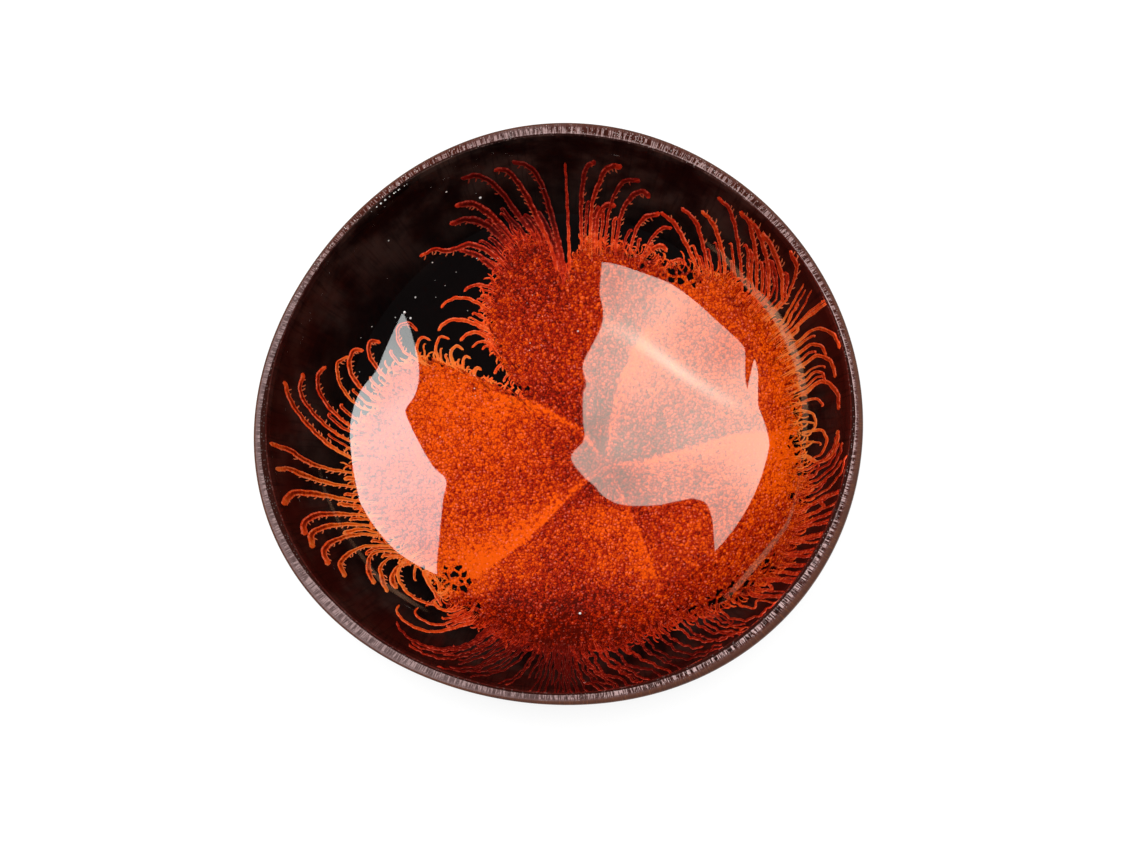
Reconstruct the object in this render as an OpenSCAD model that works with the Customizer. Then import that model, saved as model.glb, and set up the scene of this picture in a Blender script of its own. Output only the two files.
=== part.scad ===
// Coconut shell bowl with a lacquered inside.
// The shell is one half of a nut, sanded flat underneath and sawn off just under its widest line.
// Its inside carries three coats, which meet face to face: the dark ground, the poured colour
// and the clear gloss that levels the two. The foot's plane is z = 0, and z points up.

/* [Shell] */
// Mean diameter of the rim, outside
rim_d = 137; // [110:1:160]
// Height from the foot to the rim
bowl_h = 46; // [38:1:58]
// Thickness of the shell in the middle of the foot
floor_t = 3; // [2:0.1:5]
// Diameter of the flat that is sanded on the bottom
foot_d = 42; // [30:1:56]
// How square the hollow's side view is, where 2 is an ellipse
squareness = 2.2; // [2:0.05:2.6]

/* [Natural outline] */
// Stretch of the outline towards an oval, as a share of its radius
oval = 0.02; // [0:0.0005:0.04]
// Direction of the oval's long way
oval_dir = 10.5; // [0:0.5:180]
// Swell of the nut's three corners, as a share of the radius
corner = 0.017; // [0:0.0005:0.03]
// Direction of the first corner
corner_dir = -36.5; // [-60:0.5:60]
// Mean thickness of the wall at the rim
wall_t = 2.6; // [2.4:0.1:4]
// Extra thickness of the wall at the corners
corner_wall = 0.6; // [0:0.05:0.8]
// Extra thickness of the wall on its heavy side
side_wall = 0.5; // [0:0.05:0.8]
// Direction of the heavy side
side_dir = -55; // [-180:1:180]
// How far the sanded outer edge comes in on its widest side
bevel_w = 1.5; // [0.4:0.1:2]
// Direction of the widest sanded edge
bevel_dir = -38; // [-180:1:180]

/* [Coats] */
// Thickness of the dark ground coat
ground_t = 0.3; // [0.2:0.05:0.6]
// Thickness of the poured colour
colour_t = 0.2; // [0.1:0.05:0.4]
// Thickness of the clear coat over bare ground
clear_t = 0.5; // [0.45:0.05:0.8]

/* [Hidden] */

around = 96;          // points around each ring
outer_rings = 8;      // rings of the outer wall, from the foot to the sanded edge
flow_rings = 6;       // rings under the colour
bare_rings = 4;       // rings from the colour's edge to the rim
edge_steps = 3;       // steps of the sanded outer edge
outer_cut = 82;       // where the outer curve ends at the rim, with 90 on its widest line
inner_cut = 80;       // the same for the hollow
least_bevel = 0.45;   // the sanded edge on its narrow side
fourth = 0.004;       // fourth harmonic of the outline
fourth_dir = 19;      // and its direction
core = 20;            // the colour's reach in the gap that it left bare
fan_power = 4;        // how blunt a fan of colour ends
join_power = 8;       // how closely the fans' joined edge follows the longest of them

// The fans of colour: direction, half width and reach from the bowl's middle
fans = [
    [188, 52, 53],
    [108, 32, 42],
    [80, 26, 41],
    [36, 46, 53],
    [-27, 46, 56],
    [-97, 58, 54]
];

exponent = 2 / squareness;
rim_r = rim_d / 2;
foot_r = foot_d / 2;

// Outline seen from above
function swell(a) =
    1 + oval * cos(2 * (a - oval_dir))
      + corner * cos(3 * (a - corner_dir))
      + fourth * cos(4 * (a - fourth_dir));
function outline(a) = rim_r * swell(a);
function wall(a) =
    wall_t + corner_wall * cos(3 * (a - corner_dir)) + side_wall * cos(a - side_dir);
function bevel(a) = least_bevel + (bevel_w - least_bevel) * pow(max(0, cos(a - bevel_dir)), 2);
function hollow(a) = outline(a) - wall(a);

// The frame's origin is the middle of the outline's box
turns = [for (i = [0 : around - 1]) 360 * i / around];
across = [for (a = turns) outline(a) * cos(a)];
along = [for (a = turns) outline(a) * sin(a)];
mid_x = (max(across) + min(across)) / 2;
mid_y = (max(along) + min(along)) / 2;
function place(a, r, z) = [r * cos(a) - mid_x, r * sin(a) - mid_y, z];
function axis_point(z) = [-mid_x, -mid_y, z];

// Outer wall, from share 0 at the foot's edge to 1 at the rim
function outer_curve(t) = pow(sin(t), exponent) / pow(sin(outer_cut), exponent);
outer_start = asin(pow(foot_r / rim_r * pow(sin(outer_cut), exponent), squareness / 2));
function outer_rise(t) =
    (pow(cos(outer_start), exponent) - pow(cos(t), exponent))
    / (pow(cos(outer_start), exponent) - pow(cos(outer_cut), exponent));
function outer_point(a, share, top) =
    let (t = outer_start + (outer_cut - outer_start) * share)
    place(a, outline(a) * outer_curve(t), top * outer_rise(t));
// The sanded edge rolls over from the wall to the sawn face
function edge_point(a, turn) =
    place(a, outline(a) - bevel(a) * (1 - cos(turn)), bowl_h - bevel(a) * (1 - sin(turn)));

// Hollow, at a share from 0 in the middle to 1 at the rim, raised off the shell by a coat's depth
function hollow_drop() = (bowl_h - floor_t) / (1 - pow(cos(inner_cut), exponent));
function hollow_spread(a) = hollow(a) / pow(sin(inner_cut), exponent);
function hollow_slope(a, t) =
    atan(hollow_drop() / hollow_spread(a) * pow(sin(t), 2 - exponent) / pow(cos(t), 2 - exponent));
function hollow_point(a, share, lift) =
    let (
        t = inner_cut * share,
        slope = hollow_slope(a, t),
        r = hollow_spread(a) * pow(sin(t), exponent),
        z = floor_t + hollow_drop() * (1 - pow(cos(t), exponent))
    )
    share >= 1 ? place(a, hollow(a) - lift / sin(slope), bowl_h)
               : place(a, r - lift * sin(slope), z + lift * cos(slope));

// The colour's edge: blunt fans that run into each other
function off_by(a, b) = abs((a - b + 540) % 360 - 180);
function fan(a, f) = f[2] * max(0, 1 - pow(off_by(a, f[0]) / f[1], fan_power));
function total(list, i = 0) = i < len(list) ? list[i] + total(list, i + 1) : 0;
function reach(a) =
    pow(pow(core, join_power) + total([for (f = fans) pow(fan(a, f), join_power)]), 1 / join_power);
function flow_share(a) =
    asin(pow(reach(a) / hollow(a) * pow(sin(inner_cut), exponent), squareness / 2)) / inner_cut;

// Rings of points over the hollow. The coats share them, so that they meet face to face
function flow_ring(k, lift) =
    [for (a = turns) hollow_point(a, flow_share(a) * k / flow_rings, lift)];
function bare_ring(k, lift) =
    [for (a = turns)
        let (edge = flow_share(a))
        hollow_point(a, edge + (1 - edge) * k / bare_rings, lift)];
function flow_rings_at(lift) = [for (k = [1 : flow_rings]) flow_ring(k, lift)];
function bare_rings_at(lift) = [for (k = [1 : bare_rings]) bare_ring(k, lift)];
function hollow_rings(lift) = concat(flow_rings_at(lift), bare_rings_at(lift));
function turned(rings) = [for (k = [len(rings) - 1 : -1 : 0]) rings[k]];

// A closed skin through a stack of rings, with a point or a flat cap at its start and a point at its end
module skin(rings, first, last) {
    count = len(rings);
    points = concat([for (ring = rings) each ring], [first, last]);
    start = count * around;
    sides = [
        for (k = [0 : count - 2], i = [0 : around - 1])
            let (j = (i + 1) % around, low = k * around, high = low + around)
            each [[low + i, high + i, high + j], [low + i, high + j, low + j]]
    ];
    opening = [for (i = [0 : around - 1]) [start, i, (i + 1) % around]];
    closing = [
        for (i = [0 : around - 1])
            [start + 1, (count - 1) * around + (i + 1) % around, (count - 1) * around + i]
    ];
    polyhedron(points = points, faces = concat(sides, opening, closing), convexity = 6);
}

module shell() {
    wall_rings = [
        for (k = [0 : outer_rings - 1])
            [for (a = turns) outer_point(a, k / outer_rings, bowl_h - bevel(a))]
    ];
    edge_rings = [
        for (k = [0 : edge_steps])
            [for (a = turns) edge_point(a, 90 * k / edge_steps)]
    ];
    color("saddlebrown")
        skin(concat(wall_rings, edge_rings, turned(hollow_rings(0))), axis_point(0), axis_point(floor_t));
}

module ground_coat() {
    color([0.09, 0.03, 0.02])
        skin(
            concat(hollow_rings(0), turned(hollow_rings(ground_t))),
            axis_point(floor_t), axis_point(floor_t + ground_t)
        );
}

module colour_flow() {
    top = ground_t + colour_t;
    color("orangered")
        skin(
            concat(flow_rings_at(ground_t), turned(flow_rings_at(top))),
            axis_point(floor_t + ground_t), axis_point(floor_t + top)
        );
}

module clear_coat() {
    under = ground_t + colour_t;
    top = ground_t + clear_t;
    color([1, 0.95, 0.9, 0.3])
        skin(
            concat(
                flow_rings_at(under), [flow_ring(flow_rings, ground_t)],
                bare_rings_at(ground_t), turned(hollow_rings(top))
            ),
            axis_point(floor_t + under), axis_point(floor_t + top)
        );
}

shell();
ground_coat();
colour_flow();
clear_coat();
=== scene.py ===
import math

import bpy
import numpy as np
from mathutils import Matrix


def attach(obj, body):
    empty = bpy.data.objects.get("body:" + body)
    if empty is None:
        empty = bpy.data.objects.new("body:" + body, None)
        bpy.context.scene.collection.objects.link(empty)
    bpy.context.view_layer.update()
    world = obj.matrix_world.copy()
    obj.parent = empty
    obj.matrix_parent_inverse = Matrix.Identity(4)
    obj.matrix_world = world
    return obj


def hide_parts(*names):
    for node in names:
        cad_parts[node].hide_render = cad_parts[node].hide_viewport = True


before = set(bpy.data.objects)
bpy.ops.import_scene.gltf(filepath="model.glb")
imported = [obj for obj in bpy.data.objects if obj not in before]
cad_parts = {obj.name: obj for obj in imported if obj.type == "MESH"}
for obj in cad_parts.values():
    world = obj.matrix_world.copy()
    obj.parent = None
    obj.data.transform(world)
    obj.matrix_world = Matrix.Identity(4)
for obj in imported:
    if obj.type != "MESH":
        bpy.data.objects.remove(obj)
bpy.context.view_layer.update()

# The bowl's shape, in metres and degrees. The solids are drawn from the same values
bowl = {
    "rimWidth": 0.137, "height": 0.046, "floor": 0.003, "footWidth": 0.042, "squareness": 2.2,
    "oval": 0.02, "ovalTurn": 10.5, "corner": 0.017, "cornerTurn": -36.5, "fourth": 0.004, "fourthTurn": 19,
    "wall": 0.0026, "cornerWall": 0.0006, "sideWall": 0.0005, "sideTurn": -55,
    "bevel": 0.0015, "leastBevel": 0.00045, "bevelTurn": -38,
    "outerCut": 82, "innerCut": 80,
    "ground": 0.0003, "colour": 0.0002, "clear": 0.0005, "overlap": 0.00005,
}
power = 2 / bowl["squareness"]
glossTop = bowl["ground"] + bowl["clear"]
drop = (bowl["height"] - bowl["floor"]) / (1 - math.cos(math.radians(bowl["innerCut"])) ** power)

# The photograph's frame in pixels, and the camera that sees the bowl as it does
photo = {"wide": 1140, "high": 855, "pixel": 0.00023}  # the last one is a pixel in metres
view = {"lens": 85, "sensor": 36, "distance": 0.617, "elevation": 83.5, "aim": (0.0026, -0.004, 0.046)}


def sinOf(turn):
    return np.sin(np.radians(turn))


def cosOf(turn):
    return np.cos(np.radians(turn))


# Outline, wall and edge of the shell by direction

def outline(turn):
    swell = 1 + bowl["oval"] * cosOf(2 * (turn - bowl["ovalTurn"]))
    swell = swell + bowl["corner"] * cosOf(3 * (turn - bowl["cornerTurn"]))
    swell = swell + bowl["fourth"] * cosOf(4 * (turn - bowl["fourthTurn"]))
    return bowl["rimWidth"] / 2 * swell


def wallAt(turn):
    corners = bowl["cornerWall"] * cosOf(3 * (turn - bowl["cornerTurn"]))
    return bowl["wall"] + corners + bowl["sideWall"] * cosOf(turn - bowl["sideTurn"])


def bevelAt(turn):
    side = np.maximum(0, cosOf(turn - bowl["bevelTurn"])) ** 2
    return bowl["leastBevel"] + (bowl["bevel"] - bowl["leastBevel"]) * side


def spreadAt(turn):
    return (outline(turn) - wallAt(turn)) / sinOf(bowl["innerCut"]) ** power


solidTurns = np.arange(96) * 360 / 96
outlineX = outline(solidTurns) * cosOf(solidTurns)
outlineY = outline(solidTurns) * sinOf(solidTurns)
midX = (outlineX.max() + outlineX.min()) / 2
midY = (outlineY.max() + outlineY.min()) / 2


def place(turn, radius, height):
    turn, radius, height = np.broadcast_arrays(turn, radius, height)
    return np.stack([radius * cosOf(turn) - midX, radius * sinOf(turn) - midY, height], -1)


# The hollow, from share 0 in the middle to 1 at the rim, raised off the shell by a coat's depth

def hollowSlope(turn, bend):
    rise = drop / spreadAt(turn) * sinOf(bend) ** (2 - power) / cosOf(bend) ** (2 - power)
    return np.degrees(np.arctan(rise))


def hollowPoint(turn, share, lift):
    bend = bowl["innerCut"] * np.minimum(share, 1)
    slope = hollowSlope(turn, bend)
    radius = spreadAt(turn) * sinOf(bend) ** power
    height = bowl["floor"] + drop * (1 - cosOf(bend) ** power)
    inside = place(turn, radius - lift * sinOf(slope), height + lift * cosOf(slope))
    atRim = place(turn, radius - lift / np.maximum(sinOf(slope), 0.1), bowl["height"])
    onRim = np.broadcast_to(np.asarray(share) >= 1, inside.shape[:-1])[..., None]
    return np.where(onRim, atRim, inside)


def turnAndShare(x, y):
    turn = np.degrees(np.arctan2(y + midY, x + midX)) % 360
    reach = np.hypot(x + midX, y + midY) / spreadAt(turn)
    bend = np.degrees(np.arcsin(np.clip(reach, 0, 0.9999) ** (1 / power)))
    return turn, np.minimum(bend / bowl["innerCut"], 0.999)


def onHollow(x, y, lift=0.0):
    turn, share = turnAndShare(x, y)
    return hollowPoint(turn, share, lift)


# The coat's normal, from its two slopes at a point
def hollowNormal(x, y, lift=0.0008):
    step = 0.0002
    across = onHollow(x + step, y, lift) - onHollow(x - step, y, lift)
    along = onHollow(x, y + step, lift) - onHollow(x, y - step, lift)
    normal = np.cross(across, along)
    return normal / np.linalg.norm(normal, axis=-1, keepdims=True)


# A pixel of the photograph as a ray, and the point of the hollow that it meets

rise = math.radians(view["elevation"])
lookFrom = np.array(view["aim"]) + view["distance"] * np.array([0, -math.cos(rise), math.sin(rise)])
lookUp = np.array([0, math.sin(rise), math.cos(rise)])
lookAlong = np.array([0, math.cos(rise), -math.sin(rise)])


def pixelRay(pixels):
    pixels = np.asarray(pixels, float)
    halfTan = view["sensor"] / 2 / view["lens"]
    right = (pixels[..., 0] - photo["wide"] / 2) / (photo["wide"] / 2) * halfTan
    up = (photo["high"] / 2 - pixels[..., 1]) / (photo["wide"] / 2) * halfTan
    ray = lookAlong + right[..., None] * np.array([1.0, 0, 0]) + up[..., None] * lookUp
    return ray / np.linalg.norm(ray, axis=-1, keepdims=True)


def pixelPlan(pixels, lift=0.0005):
    ray = pixelRay(pixels)
    height = np.full(ray.shape[:-1], 0.02)
    aside = np.zeros(ray.shape[:-1] + (2,))
    for _ in range(40):
        spot = lookFrom + ray * ((height - lookFrom[2]) / ray[..., 2])[..., None]
        plan = spot[..., :2] - aside
        met = onHollow(plan[..., 0], plan[..., 1], lift)
        aside = met[..., :2] - plan
        height = 0.5 * height + 0.5 * met[..., 2]
    return plan


# Mesh helpers

def meshFrom(name, points, faces, materials, faceSlots=None, values=None):
    mesh = bpy.data.meshes.new(name)
    mesh.from_pydata(np.asarray(points).tolist(), [], faces)
    for material in materials:
        mesh.materials.append(material)
    if faceSlots is not None:
        mesh.polygons.foreach_set("material_index", np.asarray(faceSlots, np.int32))
    mesh.polygons.foreach_set("use_smooth", np.ones(len(faces), bool))
    for key, numbers in (values or {}).items():
        layer = mesh.attributes.new(key, "FLOAT", "POINT")
        layer.data.foreach_set("value", np.asarray(numbers, np.float32).ravel())
    mesh.validate()
    piece = bpy.data.objects.new(name, mesh)
    bpy.context.scene.collection.objects.link(piece)
    return piece


def ringFaces(count, around, first=0):
    faces = []
    for ring in range(count - 1):
        low = first + ring * around
        high = low + around
        for i in range(around):
            j = (i + 1) % around
            faces.append((low + i, low + j, high + j, high + i))
    return faces


def capFaces(centre, ring, around, flip):
    if flip:
        return [(centre, ring + (i + 1) % around, ring + i) for i in range(around)]
    return [(centre, ring + i, ring + (i + 1) % around) for i in range(around)]


# A closed skin through a stack of rings, with a point at its start and at its end
def skinFrom(name, rings, first, last, materials, slotOf=None, values=None):
    rings = np.asarray(rings)
    count, around = rings.shape[:2]
    points = np.concatenate([rings.reshape(-1, 3), [first], [last]])
    start = count * around
    faces = ringFaces(count, around) + capFaces(start, 0, around, True)
    faces += capFaces(start + 1, start - around, around, False)
    slots = np.repeat([slotOf(ring) if slotOf else 0 for ring in [*range(count - 1), 0, count]], around)
    return meshFrom(name, points, faces, materials, slots, values)


# Values for the points of a skin, by ring or by direction, with one more for each end
def byRing(numbers, around, ends=(0, 0)):
    return np.append(np.repeat(numbers, around), ends)


def byTurn(numbers, count):
    return np.append(np.tile(numbers, count), [0, 0])


# Lines in plan: how far along each point is, points at other distances, and the way that is left of the line

def goneAlong(path):
    return np.concatenate([[0], np.cumsum(np.hypot(*np.diff(path, axis=0).T))])


def pickAlong(path, gone, wanted):
    return np.stack([np.interp(wanted, gone, path[:, k]) for k in (0, 1)], -1)


def evenly(path, count):
    return pickAlong(path, np.linspace(0, 1, len(path)), np.linspace(0, 1, count))


def leftOf(path):
    tangent = np.gradient(path, axis=0)
    tangent = tangent / np.maximum(np.linalg.norm(tangent, axis=1, keepdims=True), 1e-9)
    return np.stack([-tangent[:, 1], tangent[:, 0]], -1)


# A smooth line through points, with steps of one length
def smoothPath(points, step):
    points = np.asarray(points, float)
    ends = np.concatenate([[2 * points[0] - points[1]], points, [2 * points[-1] - points[-2]]])
    t = np.linspace(0, 1, 16, endpoint=False)[:, None]
    fine = []
    for a, b, c, d in zip(ends, ends[1:], ends[2:], ends[3:]):
        fine.append(0.5 * (2 * b + (c - a) * t + (2 * a - 5 * b + 4 * c - d) * t ** 2
                           + (3 * b - a - 3 * c + d) * t ** 3))
    fine = np.concatenate(fine + [points[-1:]])
    gone = goneAlong(fine)
    return pickAlong(fine, gone, np.linspace(0, gone[-1], max(int(gone[-1] / step) + 1, 6)))


# Node helpers

def tint(code, share=1.0):
    parts = [int(code[i:i + 2], 16) / 255 for i in (1, 3, 5)]
    return tuple((p / 12.92 if p <= 0.04045 else ((p + 0.055) / 1.055) ** 2.4) * share for p in parts) + (1.0,)


def feed(tree, node, inputs):
    for key, value in inputs.items():
        if isinstance(value, bpy.types.NodeSocket):
            tree.links.new(value, node.inputs[key])
        else:
            node.inputs[key].default_value = value
    return node


def newNode(tree, kind, inputs=None, **settings):
    node = tree.nodes.new("ShaderNode" + kind)
    for key, value in settings.items():
        setattr(node, key, value)
    return feed(tree, node, inputs or {})


def calc(tree, operation, a, b=0.0):
    return newNode(tree, "Math", {0: a, 1: b}, operation=operation).outputs[0]


def plus(tree, a, b):
    return calc(tree, "ADD", a, b)


def minus(tree, a, b):
    return calc(tree, "SUBTRACT", a, b)


def times(tree, product, *others):
    for other in others:
        product = calc(tree, "MULTIPLY", product, other)
    return product


# A noise about its middle, at a size
def swing(tree, noise, size):
    return times(tree, minus(tree, noise, 0.5), size)


def vectors(tree, operation, a, b, out=0):
    key = "Scale" if operation == "SCALE" else 1
    return newNode(tree, "VectorMath", {0: a, key: b}, operation=operation).outputs[out]


def blend(tree, share, low, high):
    inputs = {0: share, 6: low, 7: high}
    return newNode(tree, "Mix", inputs, data_type="RGBA", clamp_factor=True).outputs[2]


# A colour laid over the one below it, where the mask shows it
def layer(tree, base, mask, code, share=1.0):
    return blend(tree, times(tree, mask, share) if share < 1 else mask, base, tint(code))


def fade(tree, value, low, high, start=0.0, end=1.0):
    inputs = {0: value, 1: low, 2: high, 3: start, 4: end}
    return newNode(tree, "MapRange", inputs, interpolation_type="SMOOTHSTEP").outputs[0]


def reading(tree, name):
    return newNode(tree, "Attribute", attribute_name=name).outputs["Fac"]


def spotOn(tree):
    return newNode(tree, "TexCoord").outputs["Object"]


def newGroup(name, inputs, outputs):
    group = bpy.data.node_groups.new(name, "ShaderNodeTree")
    for title, value in inputs.items():
        kind = "NodeSocketVector" if value is None else "NodeSocketFloat"
        socket = group.interface.new_socket(name=title, in_out="INPUT", socket_type=kind)
        if value is not None:
            socket.default_value = value
    for title in outputs:
        group.interface.new_socket(name=title, in_out="OUTPUT", socket_type="NodeSocketFloat")
    return group, group.nodes.new("NodeGroupInput"), group.nodes.new("NodeGroupOutput")


def useGroup(tree, group, inputs):
    return newNode(tree, "Group", inputs, node_tree=group).outputs


def newMaterial(name):
    material = bpy.data.materials.new(name)
    material.use_nodes = True
    tree = material.node_tree
    return material, tree, tree.nodes["Principled BSDF"]


def raised(tree, shader, height, depth, strength):
    bump = newNode(tree, "Bump", {"Height": height, "Distance": depth, "Strength": strength})
    feed(tree, shader, {"Normal": bump.outputs["Normal"]})


# The gloss mirrors more than a real one and its lights are weaker, which takes less noise. So the lacquer that
# it mirrors is darker by as much
def dimmedInMirror(tree, base):
    mirrored = newNode(tree, "LightPath").outputs["Is Glossy Ray"]
    return blend(tree, times(tree, mirrored, 0.985), base, (0, 0, 0, 1))


# Shared effects

def makeGrains():
    group, inside, outside = newGroup(
        "grains", {"Vector": None, "Scale": 1000.0, "Wander": 0.3},
        ["Dark", "Light", "Even", "PaintedDomeShade", "Own", "Net"])
    point, scale, wander = (inside.outputs[key] for key in ("Vector", "Scale", "Wander"))
    sway = newNode(group, "TexNoise", {"Vector": point, "Scale": scale, "Detail": 2.0})
    dark = newNode(group, "TexNoise", {
        "Vector": point, "Scale": times(group, scale, 0.8), "Detail": 4.0, "Roughness": 0.62,
        "Distortion": wander})
    # The cells are pushed about by the noise, so that no two are alike
    offset = vectors(group, "SUBTRACT", sway.outputs["Color"], (0.5, 0.5, 0.5))
    pushed = vectors(group, "ADD", point, vectors(group, "SCALE", offset, calc(group, "DIVIDE", wander, scale)))
    cells = newNode(group, "TexVoronoi", {"Vector": pushed, "Scale": scale})
    net = newNode(group, "TexVoronoi", {"Vector": pushed, "Scale": scale}, feature="DISTANCE_TO_EDGE")
    own = newNode(group, "SeparateColor", {0: cells.outputs["Color"]}).outputs
    # Each cell is painted with the shade and highlight of a small dome lit from the upper left
    lean = vectors(group, "SCALE", vectors(group, "SUBTRACT", pushed, cells.outputs["Position"]), scale)
    spot = vectors(group, "DISTANCE", lean, (-0.12, 0.18, 0.0), "Value")
    # Light is a painted highlight spot on each cell, and the dome output is its painted shade
    feed(group, outside, {
        "Dark": fade(group, dark.outputs["Fac"], 0.4, 0.6),
        "Light": times(group, fade(group, spot, 0.36, 0.14), fade(group, own[0], 0.2, 0.6)),
        "Even": sway.outputs["Fac"], "PaintedDomeShade": vectors(group, "DOT_PRODUCT", lean, (-0.55, 0.8, 0.2), "Value"),
        "Own": own[1], "Net": net.outputs["Distance"]})
    return group


def makeDrift():
    group, inside, outside = newGroup(
        "drift", {"Vector": None, "Scale": 60.0, "Low": 0.35, "High": 0.65}, ["Share"])
    point, scale, low, high = (inside.outputs[key] for key in ("Vector", "Scale", "Low", "High"))
    cloud = newNode(group, "TexNoise", {"Vector": point, "Scale": scale, "Detail": 4.0, "Roughness": 0.55})
    feed(group, outside, {"Share": fade(group, cloud.outputs["Fac"], low, high)})
    return group


def makeFibres():
    group, inside, outside = newGroup(
        "fibres", {"Across": 0.0, "Along": 0.0, "Fineness": 400.0, "Length": 20.0}, ["Streak", "Line"])
    across = times(group, inside.outputs["Across"], inside.outputs["Fineness"])
    along = times(group, inside.outputs["Along"], inside.outputs["Length"])
    point = newNode(group, "CombineXYZ", {0: across, 1: along}).outputs[0]
    broad = newNode(group, "TexNoise", {"Vector": point, "Scale": 1.0, "Detail": 5.0, "Roughness": 0.6})
    thin = newNode(group, "TexNoise", {"Vector": point, "Scale": 3.1, "Detail": 2.0, "Roughness": 0.5})
    feed(group, outside, {"Streak": broad.outputs["Fac"], "Line": fade(group, thin.outputs["Fac"], 0.52, 0.66)})
    return group


grains = makeGrains()
drift = makeDrift()
fibres = makeFibres()

# Camera

lens = bpy.data.cameras.new("camera")
lens.lens = view["lens"]
lens.sensor_width = view["sensor"]
camera = bpy.data.objects.new("camera", lens)
bpy.context.scene.collection.objects.link(camera)
camera.location = lookFrom.tolist()
camera.rotation_euler = (math.radians(90 - view["elevation"]), 0, 0)
bpy.context.scene.camera = camera
bpy.context.scene.view_settings.view_transform = "Standard"
print("camera set")

# Shell

shellLook = {
    "around": 2400, "outerRings": 28, "edgeRings": 7, "rimRings": 12, "innerRings": 8, "footRings": 3,
    "sawSink": 0.00002, "sawDepth": 0.00016, "sawMarks": 420, "teeth": 330.0, "teethSway": 26.0,
    "lumps": 0.00018, "innerSink": 0.0005,
    "brown": "#5c2a0d", "darkBrown": "#220d04", "paleBrown": "#a4602a", "foot": "#80583a",
    "sawn": "#44190f", "sawnDark": "#160705", "sawnPale": "#64504f", "sawnLight": "#ac9290", "edge": "#452c27",
    "speckAndGlint": "#c8bcb8", "over": "#230804",
}


def polishedShell():
    material, tree, shader = newMaterial("polished_shell")
    look = shellLook
    where = spotOn(tree)
    rising = reading(tree, "rising")
    strands = useGroup(tree, fibres, {
        "Across": reading(tree, "turn"), "Along": rising, "Fineness": 70.0, "Length": 3.0})
    cloud = useGroup(tree, drift, {"Vector": where, "Scale": 45.0, "Low": 0.3, "High": 0.7})["Share"]
    speckAndGlint = useGroup(tree, grains, {"Vector": where, "Scale": 900.0})
    base = blend(tree, fade(tree, strands["Streak"], 0.3, 0.7), tint(look["darkBrown"]), tint(look["brown"]))
    base = layer(tree, base, strands["Line"], look["paleBrown"], 0.75)
    base = layer(tree, base, cloud, look["paleBrown"], 0.35)
    base = layer(tree, base, speckAndGlint["Dark"], look["darkBrown"], 0.25)
    base = layer(tree, base, fade(tree, rising, 0.03, 0.0), look["foot"], 0.8)
    edge = fade(tree, rising, 0.955, 0.985)
    base = layer(tree, base, edge, look["edge"], 0.8)
    feed(tree, shader, {
        "Base Color": dimmedInMirror(tree, base),
        "Roughness": fade(tree, strands["Streak"], 0.3, 0.7, 0.42, 0.28),
        "Coat Weight": fade(tree, edge, 0.0, 1.0, 0.22, 0.0), "Coat Roughness": 0.12,
        "Specular IOR Level": fade(tree, edge, 0.0, 1.0, 0.3, 0.1)})
    raised(tree, shader, plus(tree, strands["Streak"], times(tree, speckAndGlint["Even"], 0.4)), 0.00012, 0.6)
    return material


def sawnFace():
    material, tree, shader = newMaterial("sawn_face")
    look = shellLook
    where = spotOn(tree)
    turn = reading(tree, "turn")
    inward = reading(tree, "inward")
    marks = useGroup(tree, fibres, {"Across": turn, "Along": inward, "Fineness": 88.0, "Length": 0.3})
    fine = useGroup(tree, fibres, {"Across": turn, "Along": inward, "Fineness": 420.0, "Length": 3.0})
    cloud = useGroup(tree, drift, {"Vector": where, "Scale": 60.0, "Low": 0.38, "High": 0.62})["Share"]
    speckAndGlint = useGroup(tree, grains, {"Vector": where, "Scale": 1900.0})
    worn = plus(tree, reading(tree, "fresh"), swing(tree, cloud, 0.2))
    worn = plus(tree, worn, swing(tree, fine["Streak"], 1.1))
    base = blend(tree, fade(tree, worn, -0.1, 1.1), tint(look["sawn"]), tint(look["sawnPale"]))
    band = fade(tree, inward, 0.3, 0.16)
    ticks = times(tree, reading(tree, "ticks"), fade(tree, band, 0.0, 1.0, 1.0, 0.25))
    # Regular teeth of the saw, pushed about
    teeth = plus(tree, times(tree, turn, look["teeth"]), times(tree, marks["Streak"], look["teethSway"]))
    teeth = calc(tree, "SINE", teeth)
    base = layer(tree, base, times(tree, fade(tree, teeth, 0.0, 0.45), ticks), look["sawnDark"], 0.92)
    base = layer(tree, base, times(tree, fade(tree, teeth, -0.3, -0.75), ticks), look["sawnLight"])
    # Painted shade in the saw nicks, darker where they are deeper
    base = layer(tree, base, reading(tree, "paintedGrooveShade"), look["sawnDark"])
    base = layer(tree, base, times(tree, band, reading(tree, "brownEdge")), look["edge"])
    # The lacquer runs over the inner part of the face, and a painted highlight runs along its edge
    past = minus(tree, plus(tree, inward, swing(tree, fine["Streak"], 0.16)), reading(tree, "coated"))
    paintedLipHighlight = times(tree, fade(tree, past, -0.2, -0.06), fade(tree, past, 0.04, -0.02), reading(tree, "lipHighlight"),
                    fade(tree, speckAndGlint["Even"], 0.3, 0.6, 0.3, 1.0))
    base = layer(tree, base, paintedLipHighlight, look["sawnLight"])
    base = layer(tree, base, fade(tree, past, -0.02, 0.03), look["over"])
    # Painted glints: pale spots laid on the sawn face where it catches light
    glint = times(tree, fade(tree, speckAndGlint["Light"], 0.25, 0.7), reading(tree, "glint"))
    base = layer(tree, base, glint, look["speckAndGlint"])
    feed(tree, shader, {
        "Base Color": dimmedInMirror(tree, base), "Roughness": fade(tree, fine["Streak"], 0.3, 0.7, 0.8, 0.6),
        "Specular IOR Level": 0.08})
    raised(tree, shader, fine["Streak"], 0.00008, 0.7)
    return material
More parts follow.
